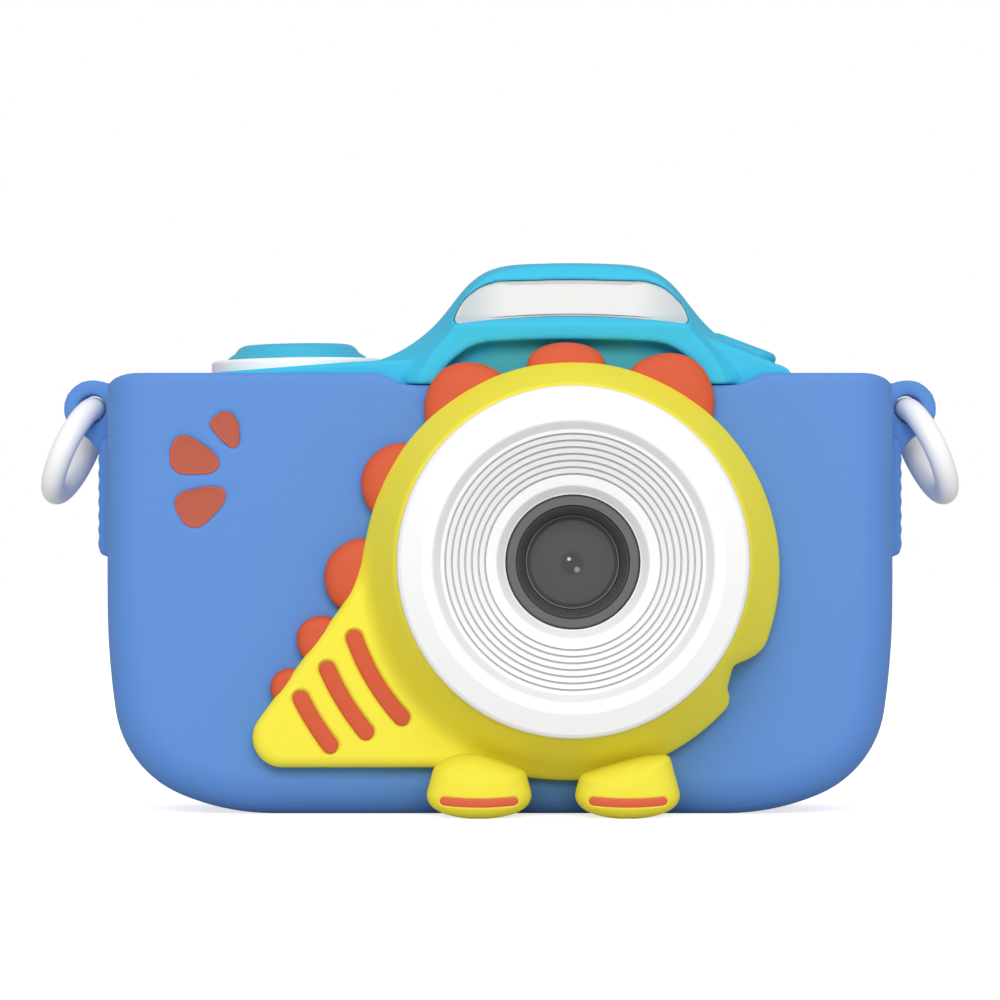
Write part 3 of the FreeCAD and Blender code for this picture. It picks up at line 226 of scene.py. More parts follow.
finish = {
    "blue_silicone": moulded("blue_silicone", BLUE, rough=0.62, grain=0.10, grain_scale=2600, mottle=0.02,
                             peel=0.05, specular=0.25, sheen=0.04),
    # the yellow silicone gets a faint painted glow in its own colour, which lightens its shaded sides
    "yellow_silicone": moulded("yellow_silicone", YELLOW, rough=0.58, grain=0.10, grain_scale=2600,
                               mottle=0.02, peel=0.05, specular=0.1, painted_glow=0.05),
    "orange_silicone": moulded("orange_silicone", ORANGE, rough=0.6, grain=0.12, grain_scale=2600,
                               mottle=0.03, peel=0.06, specular=0.25, sheen=0.02),
    "toe_inlay": moulded("toe_inlay", srgb(225, 103, 75), rough=0.6, grain=0.12, grain_scale=2600,
                         mottle=0.03, peel=0.06, specular=0.25),
    "leaf_inlay": moulded("leaf_inlay", srgb(178, 88, 67), rough=0.65, grain=0.14, grain_scale=2600,
                          mottle=0.04, peel=0.06, specular=0.3),
    "cyan_shell": moulded("cyan_shell", CYAN, rough=0.42, grain=0.06, grain_scale=3200, mottle=0.015,
                          specular=0.04),
    "cyan_key": moulded("cyan_key", srgb(62, 176, 208), rough=0.38, grain=0.05, grain_scale=3200,
                        mottle=0.015, specular=0.2),
    "white_shell": moulded("white_shell", WHITE, rough=0.42, grain=0.08, grain_scale=3000, mottle=0.01),
    "white_gloss": moulded("white_gloss", WHITE, rough=0.3, grain=0.03, grain_scale=3000, mottle=0.01),
    "frosted_plastic": moulded("frosted_plastic", srgb(232, 231, 230), rough=0.4, grain=0.12,
                               grain_scale=4200, mottle=0.02, transmission=0.12),
    "led_resin": moulded("led_resin", srgb(250, 238, 170), rough=0.2, transmission=0.5, mottle=0.03),
    "circuit_board": moulded("circuit_board", srgb(18, 92, 52), rough=0.35, mottle=0.2, grain=0.1),
    "wire_jacket": moulded("wire_jacket", srgb(190, 40, 34), rough=0.5, mottle=0.05, grain=0.1),
    "dark_plastic": moulded("dark_plastic", srgb(87, 87, 87), rough=0.5, grain=0.1, grain_scale=3000,
                            mottle=0.04),
    "black_plastic": moulded("black_plastic", srgb(60, 60, 62), rough=0.55, grain=0.1, mottle=0.05),
    "black_rubber": moulded("black_rubber", srgb(40, 40, 40), rough=0.8, grain=0.2, mottle=0.05),
    # cover glass: the light outer ring is a painted highlight on its bevelled edge, the dark middle is
    # painted shade of the lens opening, the two small spots are painted glints
    "cover_glass": marked(moulded("cover_glass", srgb(150, 150, 148), rough=0.3, mottle=0.0, specular=0.2),
                          [((LENS_X, GLASS_Y, LENS_Z), 5.48, 0.05, srgb(82, 84, 84)),
                           ((LENS_X, GLASS_Y, LENS_Z - 0.15), 1.4, 0.25, srgb(71, 71, 72)),
                           ((LENS_X - 0.4, GLASS_Y, LENS_Z + 0.36), 0.2, 0.09, srgb(225, 225, 225)),
                           ((LENS_X + 0.56, GLASS_Y, LENS_Z - 0.9), 0.32, 0.09, srgb(150, 150, 150))]),
    "lens_glass": moulded("lens_glass", srgb(220, 228, 240), rough=0.02, transmission=1.0, mottle=0.0,
                          ior=1.6),
    "screen_glass": moulded("screen_glass", srgb(24, 25, 28), rough=0.06, coat=0.6, mottle=0.05),
    "lcd_glass": moulded("lcd_glass", srgb(20, 21, 24), rough=0.15, mottle=0.05),
    "chip_ceramic": moulded("chip_ceramic", srgb(60, 60, 74), rough=0.3, mottle=0.1),
    "chip_plastic": moulded("chip_plastic", srgb(32, 32, 34), rough=0.6, grain=0.2, mottle=0.1),
    "ribbon_film": moulded("ribbon_film", srgb(206, 134, 44), rough=0.35, mottle=0.1),
    "switch_body": moulded("switch_body", srgb(196, 198, 200), rough=0.35, metallic=1.0, mottle=0.06),
    "socket_steel": moulded("socket_steel", srgb(200, 202, 205), rough=0.3, metallic=1.0, mottle=0.06,
                            brushed=(1, 40, 1)),
    "battery_foil": moulded("battery_foil", srgb(205, 207, 210), rough=0.38, metallic=1.0, mottle=0.08,
                            peel=0.5),
    "foam_pad": moulded("foam_pad", srgb(46, 46, 48), rough=0.95, grain=0.6, grain_scale=1500, mottle=0.2),
    "speaker_metal": moulded("speaker_metal", srgb(44, 44, 46), rough=0.45, mottle=0.1),
    "screw_steel": moulded("screw_steel", srgb(190, 190, 192), rough=0.3, metallic=1.0, mottle=0.08),
}

# painted shade: the recess behind the dinosaur's back is painted darker and greener, for its shadow and the
# yellow light bounced into it
RECESS_MIDDLE_Y = -1.5
RECESS_HALF_Y = 1.9
RECESS_R = 27.0                      # the recess lies within this distance of the lens axis
shell = finish["cyan_shell"]
depth = sums(shell, along(shell, (0, 1, 0)),
             [("SUBTRACT", RECESS_MIDDLE_Y), ("ABSOLUTE", 0), ("SUBTRACT", RECESS_HALF_Y)])
inward = sums(shell, from_axis(shell), [("SUBTRACT", RECESS_R)])
painted(shell, joined(shell, "MAXIMUM", depth, inward), 0.5, 0.0, srgb(78, 178, 191))

# painted shade: the window's recessed rim is painted greyer than its raised face, and both ends are painted
# darker
WINDOW_HALF = 13.8                   # half width of the window
WINDOW_FLAT = 7.0                    # half width of its evenly lit middle
LEAN = 0.365                         # the window's front leans back by this much per mm of height
WINDOW_FACE = -5.4 - 60.7 * LEAN     # where the raised face lies along the leaning axis
glow = finish["frosted_plastic"]
sideways = sums(glow, along(glow, (1, 0, 0)), [("SUBTRACT", LENS_X), ("ABSOLUTE", 0)])
painted(glow, sideways, WINDOW_FLAT, WINDOW_HALF, srgb(196, 202, 206))
painted(glow, along(glow, (0, 1, -LEAN)), WINDOW_FACE + 0.44, WINDOW_FACE + 0.56, srgb(214, 210, 212))

# painted shade: dark lines in the barrel's seven grooves and in the groove of the lens ring, and a grey band
# on the barrel's outer step
GROOVE_IN = 10.45                    # radius of the innermost groove
GROOVE_PITCH = 4.7 / 6
GROOVES = 7
STEP_R = 16.12                       # middle of the barrel's outer step
RING_GROOVE_R = 6.7                    # groove in the dark lens ring, painted darker as its shade
barrel = moulded("barrel_white", srgb(240, 239, 240), rough=0.42, grain=0.08, grain_scale=3000, mottle=0.01)
finish["barrel_white"] = barrel
turns = sums(barrel, from_axis(barrel), [("SUBTRACT", GROOVE_IN), ("DIVIDE", GROOVE_PITCH)])
near = sums(barrel, turns, [("PINGPONG", 0.5)])
beyond = sums(barrel, turns, [("SUBTRACT", (GROOVES - 1) / 2), ("ABSOLUTE", 0),
                              ("GREATER_THAN", GROOVES / 2)])
# painted shade in the seven grooves
painted(barrel, joined(barrel, "ADD", near, beyond), 0.22, 0.1, srgb(214, 213, 212))
# painted shade: a grey band over the outer step
painted(barrel, sums(barrel, from_axis(barrel), [("SUBTRACT", STEP_R), ("ABSOLUTE", 0)]), 0.5, 0.36,
        srgb(225, 224, 226))
collet = moulded("lens_ring", srgb(87, 87, 87), rough=0.5, grain=0.1, grain_scale=3000, mottle=0.04)
finish["lens_ring"] = collet
# painted shade: a dark line in the lens ring's groove
painted(collet, sums(collet, from_axis(collet), [("SUBTRACT", RING_GROOVE_R), ("ABSOLUTE", 0)]), 0.14, 0.05,
        srgb(34, 34, 34))


# ---------------------------------------------------------------- mesh helpers (millimetres in, metres out)
SLEEVE_HALF = 48.0
GRIP_EASE = 0.35                     # how much of the relaxing the ribbed grips and ears take


def add_piece(name, verts, faces, slot, body, stands_for=()):
    """Smooth-shaded mesh object in the record's finish, riding on a body."""
    mesh = bpy.data.meshes.new(name)
    mesh.from_pydata([tuple(c * MM for c in v) for v in verts], [], faces)
    edit = bmesh.new()
    edit.from_mesh(mesh)
    bmesh.ops.remove_doubles(edit, verts=edit.verts, dist=1e-7)
    bmesh.ops.dissolve_degenerate(edit, edges=edit.edges, dist=1e-7)
    bmesh.ops.recalc_face_normals(edit, faces=edit.faces)
    edit.to_mesh(mesh)
    edit.free()
    mesh.shade_smooth()
    mesh.materials.append(finish[slot])
    piece = bpy.data.objects.new(name, mesh)
    bpy.context.scene.collection.objects.link(piece)
    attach(piece, body)
    if stands_for:
        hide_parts(*stands_for)
    return piece


def skin(rings, closed=False, cap_start=False, cap_end=False):
    """Vertices and faces over equal closed rings; the ends can be closed by a fan or joined together."""
    verts = [tuple(p) for ring in rings for p in ring]
    count = len(rings[0])
    faces = []
    pairs = len(rings) if closed else len(rings) - 1
    for i in range(pairs):
        j = (i + 1) % len(rings)
        for k in range(count):
            n = (k + 1) % count
            faces.append((i * count + k, i * count + n, j * count + n, j * count + k))
    for wanted, start in ((cap_start, 0), (cap_end, (len(rings) - 1) * count)):
        if wanted:
            middle = tuple(np.mean(np.array(verts[start:start + count]), axis=0))
            verts.append(middle)
            faces += [(start + k, start + (k + 1) % count, len(verts) - 1) for k in range(count)]
    return verts, faces


def soft_copy(node, voxel, rounds, keep, slot, body, corner=None):
    """Silicone version of a CAD solid: every corner eased by remeshing and relaxing a copy of it."""
    piece = bpy.data.objects.new("soft_" + node, nodes[node].data.copy())
    bpy.context.scene.collection.objects.link(piece)
    remesh = piece.modifiers.new("remesh", "REMESH")
    remesh.mode = "VOXEL"
    remesh.voxel_size = voxel * MM
    bpy.context.view_layer.update()
    even = bpy.data.meshes.new_from_object(piece.evaluated_get(bpy.context.evaluated_depsgraph_get()))
    piece.modifiers.clear()
    piece.data = even
    ease = piece.vertex_groups.new(name="ease")
    for v in even.vertices:
        ease.add([v.index], 1.0 if abs(v.co.x) < (SLEEVE_HALF + 0.1) * MM else GRIP_EASE, "REPLACE")
    relax = piece.modifiers.new("relax", "SMOOTH")
    relax.factor = 0.5
    relax.iterations = rounds
    relax.vertex_group = "ease"
    thin = piece.modifiers.new("thin", "DECIMATE")
    thin.ratio = keep
    bpy.context.view_layer.update()
    done = bpy.data.meshes.new_from_object(piece.evaluated_get(bpy.context.evaluated_depsgraph_get()))
    piece.modifiers.clear()
    piece.data = done
    flat = np.empty(len(done.vertices) * 3)
    done.vertices.foreach_get("co", flat)
    lowest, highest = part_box(node)
    kept = np.clip(flat.reshape(-1, 3), np.array(lowest), np.array(highest))
    if corner:
        reach, drop = corner[0] * MM, corner[1] * MM
        side = ((np.abs(kept[:, 0]) - SLEEVE_HALF * MM + reach) / reach).clip(0)
        rise = ((kept[:, 2] - highest.z + drop) / drop).clip(0)
        away = np.hypot(side, rise)
        pulled = (away > 1) & (side > 0) & (rise > 0) & (np.abs(kept[:, 0]) < SLEEVE_HALF * MM * 1.002)
        scale = np.where(pulled, 1 / np.maximum(away, 1e-9), 1.0)
        kept[:, 0] += np.sign(kept[:, 0]) * side * (scale - 1) * reach
        kept[:, 2] += rise * (scale - 1) * drop
    done.vertices.foreach_set("co", kept.ravel())
    done.materials.clear()
    done.materials.append(finish[slot])
    done.shade_smooth()
    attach(piece, body)
    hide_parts(node)
    return piece


# ---------------------------------------------------------------- flat shapes as signed distances
def smooth_min(a, b, k):
    """Smaller of two values, rounded over where they differ by less than k."""
    h = np.clip(0.5 + 0.5 * (b - a) / k, 0.0, 1.0)
    return b * (1 - h) + a * h - k * h * (1 - h)


def smooth_max(a, b, k):
    """Larger of two values, rounded over where they differ by less than k."""
    return -smooth_min(-a, -b, k)


def polygon_distance(points, x, z):
    """Distance to a polygon in the XZ plane, negative inside."""
    nearest = np.full_like(x, 1e9)
    inside = np.zeros(x.shape, bool)
    for (ax, az), (bx, bz) in zip(points, points[1:] + points[:1]):
        ex, ez = bx - ax, bz - az
        wx, wz = x - ax, z - az
        t = np.clip((wx * ex + wz * ez) / (ex * ex + ez * ez), 0, 1)
        nearest = np.minimum(nearest, np.hypot(wx - t * ex, wz - t * ez))
        crosses = ((az > z) != (bz > z)) & (x < ex * (z - az) / (ez if ez else 1e-9) + ax)
        inside ^= crosses
    return np.where(inside, -nearest, nearest)


def arc_distance(x, z, cx, cz, radius, start, end, half):
    """Distance to a round-ended band along an arc, angles in degrees."""
    angle = np.degrees(np.arctan2(z - cz, x - cx)) % 360
    along = np.abs(np.hypot(x - cx, z - cz) - radius)
    ends = [np.hypot(x - cx - radius * math.cos(math.radians(a)), z - cz - radius * math.sin(math.radians(a)))
            for a in (start, end)]
    return np.where((angle > start) & (angle < end), along, np.minimum(*ends)) - half


BAND_EASE = 0.16                     # how far the rim of a strip is rounded down
BAND_DEPTH = 0.8


def arc_band(name, spot, radius, start, end, half, surface, sink, slot, stands_for):
    """Round-ended strip laid on a surface y(x, z), its face sink below it, its rim eased down."""
    cx, cz = spot
    cap = math.degrees(half / radius)
    rows = []
    turns = np.concatenate([start - cap * np.cos(np.linspace(0, math.pi / 2, 12)),
                            np.linspace(start, end, 41)[1:-1],
                            end + cap * np.sin(np.linspace(0, math.pi / 2, 12))])
    for turn in turns:
        past = max(start - turn, turn - end, 0.0) / cap
        width = half * math.sqrt(max(0.0, 1 - past * past))
        share = np.array([-1, -0.93, -0.8, -0.5, 0, 0.5, 0.8, 0.93, 1])
        across = share * width
        a = math.radians(turn)
        x = cx + (radius + across) * math.cos(a)
        z = cz + (radius + across) * math.sin(a)
        top = surface(x, z) + sink + BAND_EASE * np.abs(share) ** 8
        face = list(zip(x, top, z))
        under = [(px, py + BAND_DEPTH, pz) for px, py, pz in reversed(face)]
        rows.append(face + under)
    verts, faces = skin(rows, cap_start=True, cap_end=True)
    return add_piece(name, verts, faces, slot, "camera", stands_for)


# ---------------------------------------------------------------- dinosaur body
BORE = 18.05
FRONT_Y = -6.0                       # front face of the sleeve
COLLAR_DROP = 0.9                    # the collar's base circle sits this far below the lens axis
COLLAR_R = 25.1
CONE_TOP_R = 21.3
CONE_BASE, CONE_RISE = 3.0, 8.5      # heights of the cone over the sleeve's face
TAIL_H = 3.5
EDGE_ROUND = 1.5
TAIL_TIP = (-26.3, 9.5)
TIP_R = 3.6
TAIL_LEAN = math.radians(53.85)
BLEND = 3.4                          # how widely the tail runs into the collar
STRIPES = [(27.8, 199.3, 222.3), (32.2, 203.7, 219.4), (36.6, 206.8, 217.1)]
STRIPE_HALF = 1.0
STRIPE_GAP = 0.16
GROOVE = 0.5
SINK = 0.08


def body_distance(x, z):
    """Outline of the collar and tail, with the bite at lower right."""
    circle = np.hypot(x - LENS_X, z - LENS_Z + COLLAR_DROP) - COLLAR_R
    tip_x, tip_z = TAIL_TIP
    roof = LENS_Z + 2.3
    run = (roof - tip_z) / math.tan(TAIL_LEAN)
    tail = polygon_distance([(tip_x, tip_z), (LENS_X, tip_z), (LENS_X, roof), (tip_x + run, roof)], x, z)
    bite = polygon_distance([(LENS_X + 30, 16.5), (LENS_X + 23.7, 18.6), (LENS_X + 20.3, 17.4),
                             (LENS_X + 19.9, 15.6), (LENS_X + 22.2, 11.0), (LENS_X + 30, 9)], x, z) - 1.2
    return smooth_max(smooth_min(circle, tail - TIP_R, BLEND), -bite, 1.4)


def plain_surface(x, z):
    """Front of the collar and tail as y(x, z), before the stripe grooves."""
    rise = np.zeros_like(x)
    for _ in range(4):
        drop = COLLAR_DROP * (1 - rise)
        rise = (COLLAR_R - 0.15 - np.hypot(x - LENS_X, z - LENS_Z + drop)) / (COLLAR_R - 0.15 - CONE_TOP_R)
        rise = np.clip(rise, -3, 1.12)
    cone = CONE_BASE + CONE_RISE * np.minimum(rise, 1.0)
    height = smooth_max(np.full_like(x, TAIL_H), smooth_min(cone, CONE_BASE + CONE_RISE + 0 * x, 0.8), 2.2)
    depth = np.clip(-body_distance(x, z), 0, EDGE_ROUND)
    eased = EDGE_ROUND - np.sqrt(np.maximum(0, EDGE_ROUND ** 2 - (EDGE_ROUND - depth) ** 2))
    return FRONT_Y - (height - eased)


def grooved_surface(x, z):
    """Front of the collar and tail with the shallow slots that the stripes sit in."""
    y = plain_surface(x, z)
    for radius, start, end in STRIPES:
        d = arc_distance(x, z, LENS_X, LENS_Z, radius, start, end, STRIPE_HALF + STRIPE_GAP)
        y = y + GROOVE * np.clip(0.5 - d / 0.22, 0, 1)
    return y


def dino_angles():
    """Degrees round the lens, closer together at the tail and the bite."""
    spans = [(-10, 185, 1.3), (185, 196, 0.5), (196, 225, 0.22), (225, 242, 0.45), (242, 312, 1.2),
             (312, 350, 0.5)]
    return np.concatenate([np.arange(a, b, step) for a, b, step in spans])


def dino_body():
    """Skin over the collar and tail, ring by ring from the bore round the back to the bore again."""
    angle = np.radians(dino_angles())
    reach = np.arange(19.0, 50.0, 0.02)
    x = LENS_X + reach[None, :] * np.cos(angle)[:, None]
    z = LENS_Z + reach[None, :] * np.sin(angle)[:, None]
    inside = body_distance(x, z) < 0
    last = inside.shape[1] - 1 - np.argmax(inside[:, ::-1], axis=1)
    edge = reach[last]
    insets = [0, 0.05, 0.14, 0.28, 0.46, 0.7, 1.0, 1.35, 1.75]
    rest = np.concatenate([np.linspace(0, 0.72, 105)[1:], np.linspace(0.72, 1, 20)[1:]])

    def ring(r, y):
        return list(zip(LENS_X + r * np.cos(angle), y, LENS_Z + r * np.sin(angle)))

    rings = [ring(np.full_like(edge, BORE), np.full_like(edge, FRONT_Y + 0.1)),
             ring(edge - 0.3, np.full_like(edge, FRONT_Y + 0.1)),
             ring(edge, np.full_like(edge, FRONT_Y - 0.4))]
    radii = [edge - inset for inset in insets]
    radii += [(edge - insets[-1]) * (1 - t) + BORE * t for t in rest]
    for r in radii:
        rx = LENS_X + r * np.cos(angle)
        rz = LENS_Z + r * np.sin(angle)
        rings.append(ring(r, grooved_surface(rx, rz)))
    verts, faces = skin(rings, closed=True)
    add_piece("dino_body_skin", verts, faces, "yellow_silicone", "camera", ["dino_body"])
    for i, (radius, start, end) in enumerate(STRIPES):
        arc_band("tail_stripe_%d" % (i + 1), (LENS_X, LENS_Z), radius, start, end, STRIPE_HALF,
                 plain_surface, SINK, "orange_silicone", ["tail_stripes"])


# ---------------------------------------------------------------- spines
SPINE_EDGE_Y = -7.2
SPINE_BELLY = 1.6
SLEEVE_NOTCH_Z = 48                  # above this the spines stand in front of the recess


def spine(name, spot, lean, half, high, sharp, back_y):
    """Rounded fin: base at spot, leaning lean degrees from upright, bellied towards the front."""
    root = 2.5
    t = 1 - np.linspace(1, 0, 25) ** 2
    wide = half * (1 - t ** sharp) ** 0.526
    right = [(half + 0.1, -root), (half + 0.05, -root / 2)] + list(zip(wide, t * high))
    left = [(-px, pz) for px, pz in reversed(right[:-1])]
    outline = np.array(right + left)
    middle = np.array([0.0, 0.1 * high])
    turn = math.radians(lean)
    rings = []

    def ring(share, y):
        p = middle + (outline - middle) * share
        return [(spot[0] + px * math.cos(turn) + pz * math.sin(turn), y,
                 spot[1] - px * math.sin(turn) + pz * math.cos(turn)) for px, pz in p]

    rings.append(ring(0.96, back_y))
    rings.append(ring(1.0, back_y - 0.3))
    for share in np.concatenate([np.cos(np.linspace(0, 0.75, 9)), np.linspace(0.68, 0.02, 9)]):
        rings.append(ring(share, SPINE_EDGE_Y - SPINE_BELLY * (1 - share ** 3.4) ** (1 / 2.2)))
    verts, faces = skin(rings, cap_start=True, cap_end=True)
    add_piece(name, verts, faces, "orange_silicone", "camera", ["dino_spines"])


def spines():
    """Seven fins from the top right, over the lens and down to the tail: spot, lean and sizes."""
    rows = [((-4.2, 50.2), -33, 5.5, 4.7, 1.5), ((8.0, 54.2), 0, 4.75, 3.1, 2.6),
            ((20.8, 51.2), 31.5, 5.7, 4.8, 1.5), ((-13.2, 40.8), -64, 4.65, 3.5, 1.6),
            ((-17.9, 29.4), -67, 4.4, 3.3, 1.6), ((-22.2, 21.6), -56, 2.9, 2.4, 1.5),
            ((-26.2, 16.0), -56, 2.15, 1.45, 1.5)]
    for i, (spot, lean, half, high, sharp) in enumerate(rows):
        over_sleeve = spot[1] < SLEEVE_NOTCH_Z
        back = FRONT_Y - (0.1 if over_sleeve else 0.5)
        spine("spine_%d" % (i + 1), spot, lean, half, high, sharp, back)


# ---------------------------------------------------------------- feet
FOOT_CENTRE_Z = 3.5
FOOT_BROAD_Y = -12.7                 # where the foot is broadest
FOOT_BULGE = 4.15                    # how far its middle stands in front of that
SOLE_H, SOLE_HALF = 2.9, 6.3         # height and half width of the foot's widest line
SOLE_POWER = 2.3                     # how square the sole's ends are
FLARE = 0.27                         # how much narrower the foot gets per mm above the sole
TOE_R = 40.0                         # radius of the toe stripe's arc
TOE_Z = 1.97                         # lowest point of that arc
TOE_TURN = (264.1, 275.9)            # its ends, in degrees
TOE_HALF = 0.5


def foot_outline(crown):
    """Bell outline: oval sole, flared sides up to the ends of the crown line, curve through crown."""
    sole = np.linspace(0, 1, 15) ** 1.5
    z1 = SOLE_H * sole
    w1 = SOLE_HALF * (1 - (1 - sole) ** SOLE_POWER) ** (1 / SOLE_POWER)
    sides = []
    for end in (crown[0][1], crown[-1][1]):
        z2 = np.linspace(SOLE_H, end, 9)[1:]
        w2 = SOLE_HALF - FLARE * (z2 - SOLE_H)
        sides.append((np.concatenate([w1, w2]), np.concatenate([z1, z2])))
    (w_right, z_right), (w_left, z_left) = sides
    u = np.linspace(crown[0][0], crown[-1][0], 25)[1:-1]
    over = np.polyval(np.polyfit([w for w, z in crown], [z for w, z in crown], 3), u)
    w = np.concatenate([w_right, u, -w_left[::-1]])
    return w, np.concatenate([z_right, over, z_left[::-1]]) - FOOT_CENTRE_Z


def foot_reach(crown):
    """Angles and radii of the bell outline, resampled evenly and slightly smoothed."""
    w, z = foot_outline(crown)
    angle = np.arctan2(z, w)
    order = np.argsort(angle)
    angle, radius = angle[order], np.hypot(w, z)[order]
    even = np.linspace(-math.pi, math.pi, 181)[:-1]
    reach = np.interp(even, angle, radius, period=2 * math.pi)
    return even, sum(np.roll(reach, k) for k in range(-2, 3)) / 5


def foot(name, cx, crown):
    """Foot with a bulging front and a toe stripe, its outline centred at cx."""
    even, radius = foot_reach(crown)

    def surface(x, z):
        r = np.hypot(x - cx, z - FOOT_CENTRE_Z)
        a = np.arctan2(z - FOOT_CENTRE_Z, x - cx)
        share = np.clip(r / np.interp(a, even, radius, period=2 * math.pi), 0, 1)
        return FOOT_BROAD_Y - FOOT_BULGE * (1 - share ** 2.5) ** (1 / 2.5)

    def grooved(x, z):
        d = arc_distance(x, z, cx, TOE_Z + TOE_R, TOE_R, *TOE_TURN, TOE_HALF)
        return surface(x, z) + GROOVE * np.clip(0.5 - d / 0.24, 0, 1)

    rings = []
    for shrink, y in ((0.9, -6.0), (0.96, -6.3), (0.985, -9.0)):
        rings.append([(cx + shrink * r * math.cos(a), y, max(0.0, FOOT_CENTRE_Z + shrink * r * math.sin(a)))
                      for a, r in zip(even, radius)])
    for share in np.concatenate([np.cos(np.linspace(0, 0.5, 9)), np.linspace(0.86, 0.02, 42)]):
        x = cx + share * radius * np.cos(even)
        z = np.maximum(FOOT_CENTRE_Z + share * radius * np.sin(even), 0.0)
        rings.append(list(zip(x, grooved(x, z), z)))
    verts, faces = skin(rings, cap_start=True, cap_end=True)
    add_piece(name + "_skin", verts, faces, "yellow_silicone", "camera", [name])
    stripe = arc_band(name + "_toe_stripe", (cx, TOE_Z + TOE_R), TOE_R, *TOE_TURN, TOE_HALF + 0.1,
                      surface, SINK, "orange_silicone", ["toe_stripes"])
    stripe.data.materials[0] = finish["toe_inlay"]


# ---------------------------------------------------------------- deck under the shutter
DECK_START_X = -18.0                 # the deck is level to the right of this
DECK_FALL = 0.052                    # slope of the deck towards the camera's side
DECK_LOW_Z = 50.0                    # what lies below this stays where it is
DECK_EASE = 2.0                      # height over which the fall sets in


def sloped_deck(cover):
    """Let the deck fall away under the white ring, so that more of the ring shows at the side."""
    for v in cover.data.vertices:
        if v.co.x < DECK_START_X * MM and v.co.z > DECK_LOW_Z * MM:
            share = min(1.0, (v.co.z / MM - DECK_LOW_Z) / DECK_EASE)
            v.co.z += DECK_FALL * (v.co.x - DECK_START_X * MM) * share


# ---------------------------------------------------------------- shutter cap
SHUTTER = (-25.2, 8.0, 55.7)         # centre of the white ring's top
SHUTTER_TILT = math.radians(-1.0)
CAP_TOP_R = 6.16                     # radius of the flat top
CAP_TOP_H = 1.9                      # its height over the white ring
CAP_EDGE = 1.6                       # radius of its rounded edge


def shutter_cap():
    """Round key with a flat top, rounded edge and sloping side, closed underneath."""
    x, y, z = SHUTTER
    level, tilt = math.cos(SHUTTER_TILT), math.sin(SHUTTER_TILT)
    turn = [math.radians(a) for a in range(0, 360, 3)]
    bend = [math.radians(a) for a in range(66, -1, -6)]
    side = [(6.9, -2.8), (8.5, -2.8), (8.6, -2.7), (8.6, 0.1), (8.57, 0.25), (8.5, 0.36)]
    edge = [(CAP_TOP_R + CAP_EDGE * math.sin(a), CAP_TOP_H + CAP_EDGE * (math.cos(a) - 1)) for a in bend]
    top = [(r, CAP_TOP_H) for r in (5.8, 4.5, 2.5, 0.4)]
    rings = []
    for r, h in side + edge + top:
        rings.append([(x + r * math.cos(a) * level + h * tilt, y + r * math.sin(a),
                       z - r * math.cos(a) * tilt + h * level) for a in turn])
    verts, faces = skin(rings, cap_start=True, cap_end=True)
    add_piece("shutter_cap", verts, faces, node_slot["shutter_button"], "shutter_button", ["shutter_button"])


# ---------------------------------------------------------------- leaf marks
def closed_curve(points):
    """Smooth closed curve through uneven points: Hermite pieces with chord-length spacing."""
    p = np.array(points)
    ahead = np.roll(p, -1, axis=0) - p
    chord = np.linalg.norm(ahead, axis=1)
    slope = ahead / chord[:, None]
    back_chord = np.roll(chord, 1)[:, None]
    turn = (slope * back_chord + np.roll(slope, 1, axis=0) * chord[:, None]) / (back_chord + chord[:, None])
    out = []
    for i in range(len(p)):
        j = (i + 1) % len(p)
        for t in np.linspace(0, 1, 9)[:-1]:
            out.append((2 * t ** 3 - 3 * t ** 2 + 1) * p[i] + (t ** 3 - 2 * t ** 2 + t) * chord[i] * turn[i]
                       + (3 * t ** 2 - 2 * t ** 3) * p[j] + (t ** 3 - t ** 2) * chord[i] * turn[j])
    return np.array(out)


def leaf(name, points):
    """Shallow dished inlay with a raised rim, in its pocket in the sleeve."""
    outline = closed_curve(points)
    middle = outline.mean(axis=0)
    rim = [(1.0, 0.7), (1.05, 0.25), (1.05, 0.08), (1.035, 0.02), (1.01, 0.0), (0.975, 0.0)]
    dish = [(0.955, 0.02), (0.93, 0.035), (0.6, 0.04), (0.3, 0.04)]
    rings = []
    for share, sunk in rim + dish:
        p = middle + (outline - middle) * share
        rings.append([(px, FRONT_Y + sunk, pz) for px, pz in p])
    verts, faces = skin(rings, cap_start=True, cap_end=True)
    mark = add_piece(name, verts, faces, "orange_silicone", "camera", ["leaf_marks"])
    mark.data.materials.append(finish["leaf_inlay"])
    for face in mark.data.polygons:
        face.material_index = int(face.index >= (len(rim) - 1) * len(outline))


LEAVES = [
    [(-35.12, 47.3), (-34.1, 48.6), (-33.2, 48.88), (-32.14, 48.07), (-31.7, 45.9), (-31.87, 44.93),
     (-32.3, 44.63), (-33.4, 45.25), (-34.62, 46.56)],
    [(-39.94, 43.4), (-39.34, 45.45), (-38.64, 45.96), (-37.6, 45.75), (-35.83, 44.66), (-34.5, 43.4),
     (-34.22, 42.5), (-34.75, 41.83), (-36.9, 41.45), (-39.1, 41.72), (-39.72, 42.33)],
    [(-39.34, 37.9), (-39.2, 38.4), (-38.6, 38.93), (-36.9, 39.47), (-34.7, 39.71), (-33.6, 39.35),
     (-33.5, 38.3), (-34.8, 36.5), (-36.58, 35.08), (-37.12, 34.99), (-37.88, 35.24), (-39.0, 36.7)],
]


# ---------------------------------------------------------------- assembly
for name, node in nodes.items():
    node.data.materials.clear()
    node.data.materials.append(finish[node_slot[name]])

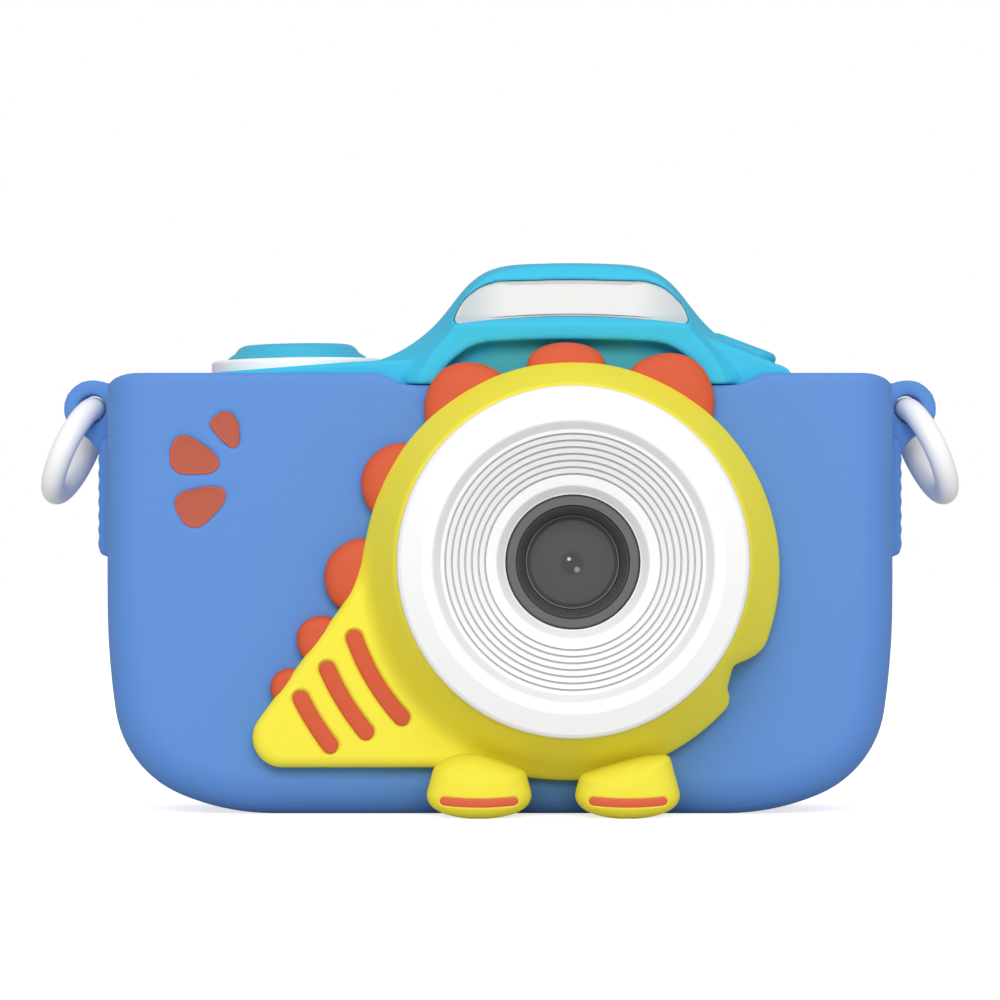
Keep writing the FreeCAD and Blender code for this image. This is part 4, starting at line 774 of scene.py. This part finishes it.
for name, slot in (("lens_barrel", "barrel_white"), ("lens_inner_ring", "lens_ring")):
    nodes[name].data.materials[0] = finish[slot]
soft_copy("silicone_sleeve", 0.36, 5, 0.3, "blue_silicone", "camera", corner=(4.2, 2.0))
soft_copy("port_flap", 0.3, 4, 0.6, "blue_silicone", "port_flap")
sloped_deck(soft_copy("top_cover", 0.3, 4, 0.3, "cyan_shell", "camera"))
shutter_cap()
dino_body()
spines()
foot("foot_left", -2.5, [(5.54, 5.7), (2.5, 6.87), (-0.54, 7.66), (-5.43, 6.1)])
foot("foot_right", 15.28, [(5.03, 7.6), (1.45, 7.3), (-1.45, 6.6), (-5.68, 5.2)])
for i, points in enumerate(LEAVES):
    leaf("leaf_mark_%d" % (i + 1), points)


# ---------------------------------------------------------------- floor, light, camera
ROOM = 0.545                         # brightness of the white room
KEY_WATTS = 9.4
TOP_WATTS = 1.4
AIM = (0, 0, 0.03)                   # where both lamps point
PAPER_GREY = 0.72
PAPER_WASH = 0.72                    # extra brightness of the paper, seen by the camera only
PAPER_HALF = 6
VIEW_DISTANCE = 0.601                # in metres, in front of the origin
VIEW_HEIGHT = 0.0307                 # level with the lens
VIEW_TILT = 0.724                    # degrees upwards, which moves the object down in the picture


def panel(name, size, energy, place):
    """Rectangular lamp aimed at the middle of the object."""
    light = bpy.data.lights.new(name, "AREA")
    light.shape = "RECTANGLE"
    light.size, light.size_y = size
    light.energy = energy
    lamp = bpy.data.objects.new(name, light)
    bpy.context.scene.collection.objects.link(lamp)
    lamp.location = place
    lamp.rotation_mode = "QUATERNION"
    lamp.rotation_quaternion = (Vector(AIM) - Vector(place)).to_track_quat("-Z", "Y")


def floor(name, half, material):
    """Square sheet at ground level."""
    mesh = bpy.data.meshes.new(name)
    mesh.from_pydata([(-half, -half, 0), (half, -half, 0), (half, half, 0), (-half, half, 0)], [],
                     [(0, 1, 2, 3)])
    mesh.materials.append(material)
    obj = bpy.data.objects.new(name, mesh)
    bpy.context.scene.collection.objects.link(obj)


def sweep_paper():
    """Pale paper that the lamps wash out almost to pure white."""
    mat = moulded("sweep_paper", (PAPER_GREY, PAPER_GREY, PAPER_GREY, 1), rough=0.95, mottle=0.01,
                   specular=0.1)
    tree = mat.node_tree
    shader = tree.nodes["Principled BSDF"]
    rays = tree.nodes.new("ShaderNodeLightPath")
    wash = tree.nodes.new("ShaderNodeMath")
    wash.operation = "MULTIPLY"
    wash.inputs[1].default_value = PAPER_WASH
    tree.links.new(rays.outputs["Is Camera Ray"], wash.inputs[0])
    shader.inputs["Emission Color"].default_value = (1, 1, 1, 1)
    tree.links.new(wash.outputs["Value"], shader.inputs["Emission Strength"])
    return mat


floor("floor", PAPER_HALF, sweep_paper())
world = bpy.data.worlds.new("studio")
world.use_nodes = True
sky = world.node_tree
rays = sky.nodes.new("ShaderNodeLightPath")
level = sky.nodes.new("ShaderNodeMapRange")
level.inputs["To Min"].default_value = ROOM
level.inputs["To Max"].default_value = 1.0
sky.links.new(rays.outputs["Is Camera Ray"], level.inputs["Value"])
sky.links.new(level.outputs["Result"], sky.nodes["Background"].inputs["Strength"])
sky.nodes["Background"].inputs["Color"].default_value = (1, 1, 1, 1)
bpy.context.scene.world = world
panel("key", (0.9, 0.5), KEY_WATTS, (0.0, -1.15, 0.5))
panel("top", (0.8, 0.6), TOP_WATTS, (0.0, -0.2, 1.1))

camera = bpy.data.cameras.new("camera")
camera.lens = 176.6
camera.sensor_width = 36.0
camera.clip_start = 0.01
camera.clip_end = 50.0
view = bpy.data.objects.new("camera", camera)
bpy.context.scene.collection.objects.link(view)
view.location = (0.0, -VIEW_DISTANCE, VIEW_HEIGHT)
view.rotation_euler = (math.radians(90.0 + VIEW_TILT), 0.0, 0.0)
bpy.context.scene.camera = view
bpy.context.scene.view_settings.view_transform = "Standard"
